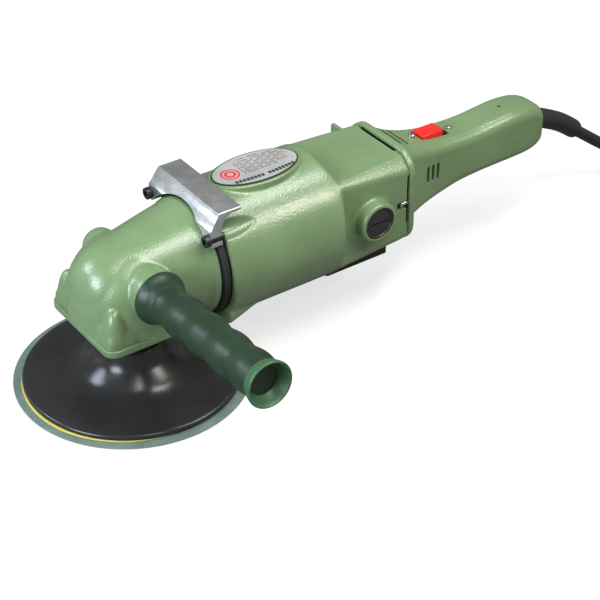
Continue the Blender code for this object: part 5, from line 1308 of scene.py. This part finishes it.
class SANDER_OT_nameplate(SanderOperator, bpy.types.Operator):
    """Adds the nameplate with a plain ring and rows of dashes in place of print"""

    bl_idname = "sander.nameplate"
    bl_label = "Nameplate"

    def make(self, context):
        place = middle("nameplate")
        z = low("nameplate").z
        rim = slab("plate_rim", oval(0.0), 0.0006, shift(place.x, 0, z + 0.0003))
        finish(rim, "plate_border_ink")
        face = slab("plate_face", oval(-0.0011), 0.0005, shift(place.x, 0, z + 0.00056))
        finish(face, "plate_metal", ["nameplate"])
        top = z + 0.00081
        self.ring(place.x - 0.0215, top)
        self.dashes(place.x, top)

    def ring(self, x, z):
        parts = []
        for inner, outer in ((0.006, 0.0074), (0.0026, 0.0046)):
            profile = ((inner, 0.00008), (outer, 0.00008), (outer, 0.0), (inner, 0.0))
            parts.append(turned(f"ring_{outer}", profile, shift(x, 0.0005, z), 64, 0.0))
        rings = boolean(parts[0], parts[1:], "UNION")
        rings.name = "plate_ring_mark"
        finish(rings, "plate_mark_ink")

    def dashes(self, x, z):
        """Rows of short dashes: fine grey rows and one bold row that follows the lower edge."""
        fine = []
        rows = ((0.015, -0.006, 11), (0.0122, -0.0105, 19), (0.0094, -0.012, 22), (0.0066, -0.011, 23))
        rows += ((0.0038, -0.011, 24), (0.001, -0.011, 22), (-0.0018, -0.011, 23), (-0.0046, -0.011, 16))
        for row, (y, start, count) in enumerate(rows):
            for i in range(count):
                if (i * 7 + row * 3) % 6 == 4:
                    continue
                fine.append((x + start + i * 0.0018, y, z))
        template = block("dash", (-0.00068, -0.00055, -0.00002), (0.00068, 0.00055, 0.00006))
        made = copies("plate_fine_dashes", template, "plate_print_ink", fine)
        finish(made, "plate_print_ink")
        bold = []
        for i in range(17):
            if i == 8:
                continue
            bold.append((x - 0.0235 + i * 0.0031, -0.0118 - 0.0016 * math.sin(math.pi * i / 16), z))
        template = block("bold_dash", (-0.0012, -0.0017, -0.00002), (0.0012, 0.0017, 0.00006))
        made = copies("plate_bold_dashes", template, "plate_bold_ink", bold)
        finish(made, "plate_bold_ink")


class SANDER_OT_brush_caps(SanderOperator, bpy.types.Operator):
    """Adds the slotted screw caps over the carbon brushes"""

    bl_idname = "sander.brush_caps"
    bl_label = "Brush Caps"

    def make(self, context):
        for name, sign in (("left", -1), ("right", 1)):
            node = f"brush_cap_{name}"
            centre = middle(node)
            where = shift(centre.x, 0, AXIS_Z) @ sideways(sign)
            face = 0.049
            profile = (
                (0, face - 0.0006), (0.0098, face - 0.0006), (0.0104, face - 0.0011),
                (0.0112, face - 0.0011), (0.0117, face), (0.0127, face - 0.0001), (0.0131, face - 0.001),
                (0.0131, 0.0441), (0, 0.0441)
            )
            cap = turned(f"screw_cap_{name}", profile, where, 96, 0.0003, 3)
            low_y, high_y = sorted((sign * (face - 0.002), sign * (face + 0.002)))
            half_long, half_wide = 0.009, 0.0007
            near = (centre.x - half_long, low_y, AXIS_Z - half_wide)
            far = (centre.x + half_long, high_y, AXIS_Z + half_wide)
            boolean(cap, [block("slot", near, far)])
            finish(cap, "black_moulding", [node])


HANDLE_SECTIONS = (
    (0.233, 0.031, 0.0525, 0.1268, 0.012), (0.24, 0.027, 0.054, 0.1245, 0.0105),
    (0.246, 0.0235, 0.0556, 0.122, 0.0095), (0.255, 0.0215, 0.0583, 0.119, 0.009),
    (0.265, 0.0202, 0.0612, 0.1165, 0.009), (0.28, 0.0195, 0.065, 0.1138, 0.009),
    (0.3, 0.0189, 0.0688, 0.1128, 0.009), (0.32, 0.0186, 0.0702, 0.1128, 0.009),
    (0.34, 0.0187, 0.0708, 0.1144, 0.009), (0.356, 0.0187, 0.0711, 0.1155, 0.009),
    (0.372, 0.0181, 0.0714, 0.1147, 0.009), (0.382, 0.0169, 0.0725, 0.1122, 0.009),
    (0.3885, 0.015, 0.0748, 0.1085, 0.009), (0.391, 0.0126, 0.0785, 0.105, 0.009)
)
TAIL_X = HANDLE_SECTIONS[-1][0]
TAIL_ROUND = 0.0022
SPLIT_Z, SPLIT_GAP = 0.0775, 0.0003
WALL = 0.003
FLANGE_FRONT, FLANGE_REAR = 0.2298, 0.235


def handle_section(x, half, bottom, top, corner, crown, arc=12):
    """A rounded rectangle whose top is slightly crowned."""
    centre = (bottom + top) / 2
    tall = (top - bottom) / 2
    points = []
    for y, rise in round_rectangle(half, tall, corner, arc):
        drop = crown * (y / half) ** 2 if rise > 0 else 0.0
        points.append(Vector((x, y, centre + rise - drop)))
    if not crown:
        return points
    last, after = points[arc - 1 : arc + 1]
    across = (last.y + (after.y - last.y) * k / 8 for k in range(1, 8))
    return [
        *points[:arc], *(Vector((x, y, top - crown * (y / half) ** 2)) for y in across), *points[arc:]
    ]


def handle_skin(name, inset=0.0):
    """The rear handle's outer skin, or with an inset the room inside it."""
    places = [Vector(section) for section in HANDLE_SECTIONS]
    if inset:
        kept = [place for place in places[1:] if place[0] < TAIL_X - inset]
        first = Vector((FLANGE_FRONT - 0.003, *HANDLE_SECTIONS[0][1:]))
        places = [first, *kept, Vector((TAIL_X - inset, *HANDLE_SECTIONS[-1][1:]))]
    crown = 0.0 if inset else 0.0008
    rings = []
    for x, half, bottom, top, corner in catmull(places, 3 if inset else 10):
        least = max(corner - inset, 0.003)
        rings.append(handle_section(x, half - inset, bottom + inset, top - inset, least, crown))
    return skin(name, rings)


class SANDER_OT_rear_handle(SanderOperator, bpy.types.Operator):
    """Adds the rear handle with its flange and its lower cover"""

    bl_idname = "sander.rear_handle"
    bl_label = "Rear Handle"

    def make(self, context):
        handle = round_edges(handle_skin("handle_shell"), TAIL_ROUND, 5)
        gap = SPLIT_GAP / 2
        below = block("below_split", (FLANGE_REAR + SPLIT_GAP, -0.1, 0.0), (0.45, 0.1, SPLIT_Z + gap))
        boolean(handle, [below])
        half, flange_top = 0.04, 0.1288
        corners = (FLANGE_FRONT, -half, low("rear_handle").z), (FLANGE_REAR, half, flange_top)
        flange = block("flange", *corners, 0.02, 0.0009, axis=0)
        boolean(handle, [flange], "UNION")
        near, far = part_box("switch_slide")
        opening = (near.x - 0.0012, near.y - 0.0006, 0.0985), (far.x + 0.0057, far.y + 0.0006, 0.14)
        slot_start, slot_end = FLANGE_FRONT - 0.001, FLANGE_FRONT + 0.0027
        cutters = [
            handle_skin("handle_room", WALL), block("switch_opening", *opening),
            block("slot_top", (slot_start, SLOT_LEFT, 0.112), (slot_end, SLOT_RIGHT, 0.1262)),
            block("slot_left", (slot_start, -0.0372, SLOT_LOW), (slot_end, -0.03, SLOT_HIGH)),
            block("slot_right", (slot_start, 0.03, SLOT_LOW), (slot_end, 0.0372, SLOT_HIGH))
        ]
        start, after = Vector(ROUTE_OUT[0]), Vector(ROUTE_OUT[1])
        ahead = (after - start).normalized() * 0.02
        cutters.append(rod("sleeve_hole", 0.0094, start - ahead, start + ahead, 48))
        for name in ("front", "rear"):
            x = middle(f"switch_screw_{name}").x
            cutters.append(rod("screw_hole", SCREW_HOLE, (x, 0, 0.1), (x, 0, 0.13), 20))
        for number in range(3):
            x = 0.2625 + number * 0.0052
            for side in (-1, 1):
                near, far = sorted((side * 0.014, side * 0.04))
                cutters.append(
                    block("vent", (x, near, 0.0835), (x + 0.0026, far, 0.0985), 0.0012, axis=1)
                )
        for number in range(2):
            x = 0.2402 + number * 0.0066
            cutters.append(block("top_vent", (x, -0.013, 0.11), (x + 0.0021, 0.013, 0.14)))
        cutters.append(rod("tail_hole", 0.0016, (0.3525, 0, 0.105), (0.3525, 0, 0.13), 24))
        for side in ("left", "right"):
            place = middle(f"handle_screw_{side}")
            start = (0.22, place.y, place.z)
            cutters.append(rod("flange_hole", 0.0021, start, (0.24, place.y, place.z), 24))
        boolean(handle, cutters)
        finish(handle, "green_gloss_paint", ["rear_handle"], 40)
        cover = round_edges(handle_skin("handle_lower_shell"), TAIL_ROUND, 5)
        above = block("above_split", (0.2, -0.1, SPLIT_Z - gap), (0.45, 0.1, 0.2))
        front = block("before_flange", (0.2, -0.1, 0.0), (FLANGE_REAR + SPLIT_GAP, 0.1, 0.2))
        boolean(cover, [above, front, handle_skin("cover_room", WALL)])
        finish(cover, "green_gloss_paint", ["handle_cover"], 40)


class SANDER_OT_switch(SanderOperator, bpy.types.Operator):
    """Adds the red slide switch"""

    bl_idname = "sander.switch"
    bl_label = "Slide Switch"

    def make(self, context):
        lowest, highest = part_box("switch_slide")
        slide = block("red_switch_slide", lowest, highest, 0.0009, 0.0006)
        finish(slide, "red_switch_plastic", ["switch_slide"], body="switch_slide_body")


class SANDER_OT_side_handle(SanderOperator, bpy.types.Operator):
    """Adds the side handle with its finger bulges and cupped end"""

    bl_idname = "sander.side_handle"
    bl_label = "Side Handle"

    def make(self, context):
        tilt = 0.073
        where = shift(0, -0.0433, HANDLE_Z) @ Matrix.Rotation(math.radians(90) - tilt, 4, "X")
        long = 0.1418
        seam = long - 0.0092
        crest, end = 0.016, 0.0176
        rise = sizes().grip_rise
        lip = [
            (0, long - 0.016), (0.0075, long - 0.0152, 0.004), (end - 0.004, long - 0.006, 0.004),
            (end - 0.0022, long - 0.0012, 0.002), (end - 0.0009, long, 0.0009),
            (end, long - 0.0014, 0.001), (end - 0.0005, long - 0.004, 0.0015), (crest * 0.96, seam, 0.003)
        ]
        profile = []
        pitch, steps = 0.0276, 72
        last = 0.0185
        for step in range(steps + 1):
            z = seam + (last - seam) * step / steps
            wave = 0.5 - 0.5 * math.cos(2 * math.pi * (z - 0.0245) / pitch)
            profile.append((crest + rise * (wave**0.8 - 1), z, 0.0))
        grip = [(0, seam), (0.015, seam), *profile, (0.015, 0.015, 0.003), (0.015, 0.011), (0, 0.011)]
        made = turned("moulded_side_handle", grip, where, 128, 0.001, 5)
        finish(made, "dark_green_moulding", ["side_handle"], 60)
        lip += [(0.0146, seam - 0.0012, 0.0005), (0, seam - 0.0012)]
        cup = turned("handle_end_cup", lip, where, 128, 0.001, 5)
        finish(cup, "green_end_moulding", angle=60)
        flange = (
            (0.0148, 0.017, 0.0004), (0.0156, 0.015, 0.003), (0.017, 0.01, 0.004),
            (0.0195, 0.0062, 0.003), (0.0203, 0.0042, 0.001), (0.0203, 0.0026, 0.0008),
            (0.019, 0.0016, 0.0005), (0.0053, 0.0016, 0.0), (0.0053, 0.017, 0.0)
        )
        made = turned("handle_trumpet_flange", flange, where, 128, 0.001, 5)
        finish(made, "dark_green_moulding", angle=60)


class SANDER_OT_screws(SanderOperator, bpy.types.Operator):
    """Adds the cover screws, the switch screws and the saddle bolts"""

    bl_idname = "sander.screws"
    bl_label = "Screws"

    def cross_head(self, name, radius, head, bottom, height):
        """A pan-head screw with a cross recess, head up, its seat at local Z = 0."""
        profile = (
            (0, height), (head * 0.55, height * 0.94, head * 0.3),
            (head * 0.95, height * 0.5, head * 0.3), (head, 0.0, 0.0001), (radius, 0.0, 0.0),
            (radius, -bottom, 0.0002), (0, -bottom)
        )
        screw = turned(name, profile, None, 40, 0.0002, 3)
        wide = radius * 0.28
        arms = ((head * 0.5, wide), (wide, head * 0.5))
        return boolean(
            screw, [block("bar", (-x, -y, height * 0.45), (x, y, height * 2)) for x, y in arms]
        )

    def make(self, context):
        names = [f"cover_screw_{n}" for n in range(1, 5)]
        seat = COVER_BOTTOM - SCREW_GAP
        places = [(middle(name).x, middle(name).y, -seat) for name in names]
        template = self.cross_head("cover_screw_pattern", 0.0024, 0.0042, 0.0146, 0.0024)
        made = copies("gearhead_cover_screws", template, "turned_steel", places, turn=0.7)
        made.data.transform(Matrix.Scale(-1, 4, Vector((0, 0, 1))))
        made.data.flip_normals()
        finish(made, "turned_steel", names)
        for name in ("switch_screw_front", "switch_screw_rear"):
            lowest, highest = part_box(name)
            seat = highest.z - 0.0014
            template = self.cross_head(f"{name}_pattern", 0.0022, 0.0028, seat - lowest.z, 0.0013)
            place = (middle(name).x, middle(name).y, seat)
            made = copies(f"{name}_head", template, "turned_steel", [place])
            finish(made, "turned_steel", [name])
        for name in ("handle_screw_left", "handle_screw_right"):
            lowest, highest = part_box(name)
            seat = 0.224
            template = self.cross_head(
                f"{name}_pattern", 0.0018, 0.0026, highest.x - seat, seat - lowest.x
            )
            made = copies(f"{name}_head", template, "turned_steel", [(0, 0, 0)])
            made.data.transform(shift(seat, middle(name).y, middle(name).z) @ TO_MINUS_X)
            finish(made, "turned_steel", [name])
        self.bolts()

    def bolts(self):
        """Socket-head bolts through the saddle's legs."""
        for name in ("left", "right"):
            node = f"saddle_bolt_{name}"
            centre = middle(node)
            front, rear = low(node).x, high(node).x
            head, shank, seat = 0.0046, 0.003, 0.0462
            profile = (
                (0, -front), (head, -front), (head, -seat), (shank, -seat), (shank, -rear), (0, -rear)
            )
            where = shift(0, centre.y, centre.z) @ TO_MINUS_X
            bolt = turned(f"socket_bolt_{name}", profile, where, 48, 0.0005, 3)
            ends = [(x, centre.y, centre.z) for x in (front - 0.001, front + 0.0022)]
            boolean(bolt, [rod("socket", 0.0024, *ends, 6)])
            finish(bolt, "blackened_steel", [node])


class SANDER_OT_inner_parts(SanderOperator, bpy.types.Operator):
    """Gives the motor, gears, bearings and brushes inside their finishes"""

    bl_idname = "sander.inner_parts"
    bl_label = "Inner Parts"

    def make(self, context):
        looks_inside = {
            "turned_steel": (
                "lower_spindle_bearing", "upper_spindle_bearing", "front_motor_bearing",
                "rear_motor_bearing", "crown_gear", "bevel_pinion", "armature_shaft", "side_handle_stud"
            ),
            "laminated_steel": ("stator_core", "armature_core"),
            "varnished_copper": ("field_coil_front", "field_coil_rear", "commutator"),
            "bare_cast_aluminium": ("rear_bearing_bracket",), "black_moulding": ("fan", "switch_body"),
            "turned_brass": ("brush_holder_left", "brush_holder_right"),
            "pressed_carbon": ("carbon_brush_left", "carbon_brush_right")
        }
        for look, names in looks_inside.items():
            for name in names:
                NODES[name].data.materials.clear()
                NODES[name].data.materials.append(material(look))
        self.springs()

    def springs(self):
        """The wire springs behind the brushes, made from copies of their CAD meshes."""
        for name, sign in (("left", -1), ("right", 1)):
            node = f"brush_spring_{name}"
            mesh = NODES[node].data.copy()
            work = bmesh.new()
            work.from_mesh(mesh)
            bmesh.ops.remove_doubles(work, verts=work.verts, dist=1e-6)
            work.to_mesh(mesh)
            work.free()
            spring = new_object(f"wire_spring_{name}", mesh)
            finish(spring, "turned_steel", [node])
            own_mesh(spring)


class SANDER_OT_stage(SanderOperator, bpy.types.Operator):
    """Adds the floor and the soft studio light"""

    bl_idname = "sander.stage"
    bl_label = "Stage"

    def softbox(self, name, at, towards, size, power, tint):
        light = bpy.data.lights.new(name, "AREA")
        light.shape = "RECTANGLE"
        light.size, light.size_y = size
        light.energy = power
        light.color = tint
        holder = bpy.data.objects.new(name, light)
        bpy.context.scene.collection.objects.link(holder)
        holder.visible_camera = False
        holder.location = at
        holder.rotation_euler = (Vector(towards) - Vector(at)).to_track_quat("-Z", "Y").to_euler()

    def by_ray(self, tree, seen, thrown):
        """A colour that the camera sees, and another that the scene is lit with."""
        rays = tree.nodes.new("ShaderNodeLightPath").outputs["Is Camera Ray"]
        return mix_colour(tree, rays, (thrown, thrown, thrown, 1.0), (seen, seen, seen, 1.0))

    def make(self, context):
        studio = context.scene.sander_studio
        context.scene.view_settings.view_transform = "Standard"
        floor = block("studio_floor", (-4.0, -4.0, -0.02), (4.0, 4.0, -0.0004))
        pale = bpy.data.materials.new("pale_floor")
        pale.use_nodes = True
        tree = pale.node_tree
        shader = tree.nodes["Principled BSDF"]
        tree.links.new(
            self.by_ray(tree, studio.floor_white, studio.floor_bounce), shader.inputs["Base Color"]
        )
        tree.links.new(self.by_ray(tree, 1.0, 0.0), shader.inputs["Emission Color"])
        shader.inputs["Emission Strength"].default_value = 0.62
        shader.inputs["Roughness"].default_value = 0.9
        shader.inputs["Specular IOR Level"].default_value = 0.0
        floor.data.materials.append(pale)
        sky = bpy.data.worlds.new("studio_sky")
        context.scene.world = sky
        sky.use_nodes = True
        back = sky.node_tree.nodes["Background"]
        sky.node_tree.links.new(
            self.by_ray(sky.node_tree, 0.9, studio.sky_strength), back.inputs["Color"]
        )
        back.inputs["Strength"].default_value = 1.0
        aim = (0.08, -0.02, 0.08)
        for name, at, size, power, tint in (
            ("top_softbox", (0.3, -0.38, 1.2), (1.25, 0.28), studio.key_power, (1.0, 0.99, 0.97)),
            (
                "left_softbox", (-1.08, -0.2, 0.58), (0.5, 0.55), studio.fill_power * 1.9,
                (0.84, 0.93, 1.0)
            ),
            (
                "back_softbox", (-0.86, 0.61, 0.83), (0.42, 0.36), studio.fill_power * 1.1,
                (0.74, 0.84, 1.0)
            ),
            ("low_card", (-0.95, 0.95, 0.15), (0.9, 0.5), studio.fill_power * 0.13, (0.92, 0.96, 1.0)),
            ("front_softbox", (0.8, -0.8, 0.98), (0.42, 0.3), studio.fill_power * 0.95, (1.0, 0.95, 0.86))
        ):
            self.softbox(name, at, aim, size, power, tint)


OPERATORS = (
    SANDER_OT_camera, SANDER_OT_cord, SANDER_OT_disc, SANDER_OT_gearhead, SANDER_OT_saddle,
    SANDER_OT_motor_housing, SANDER_OT_nameplate, SANDER_OT_brush_caps, SANDER_OT_rear_handle,
    SANDER_OT_switch, SANDER_OT_side_handle, SANDER_OT_screws, SANDER_OT_inner_parts, SANDER_OT_stage
)


class SANDER_PT_parts(bpy.types.Panel):
    """Lists the pieces that can be made"""

    bl_label = "Disc Sander"
    bl_idname = "SANDER_PT_parts"
    bl_space_type = "VIEW_3D"
    bl_region_type = "UI"
    bl_category = "Disc Sander"

    def draw(self, context):
        layout = self.layout
        for operator in OPERATORS:
            layout.operator(operator.bl_idname)
        for label, settings in (
            ("Colours", context.scene.sander_colours), ("Sizes", context.scene.sander_sizes),
            ("Studio", context.scene.sander_studio)
        ):
            layout.label(text=label)
            for name in settings.__annotations__:
                layout.prop(settings, name)


CLASSES = (SanderColours, SanderSizes, StudioSettings, *OPERATORS, SANDER_PT_parts)


def register():
    for made in CLASSES:
        bpy.utils.register_class(made)
    bpy.types.Scene.sander_colours = PointerProperty(type=SanderColours)
    bpy.types.Scene.sander_sizes = PointerProperty(type=SanderSizes)
    bpy.types.Scene.sander_studio = PointerProperty(type=StudioSettings)


def unregister():
    del bpy.types.Scene.sander_colours
    del bpy.types.Scene.sander_sizes
    del bpy.types.Scene.sander_studio
    for made in reversed(CLASSES):
        bpy.utils.unregister_class(made)


def main():
    register()
    for operator in OPERATORS:
        group_name, action = operator.bl_idname.split(".")
        getattr(getattr(bpy.ops, group_name), action)()


if __name__ == "__main__":
    main()
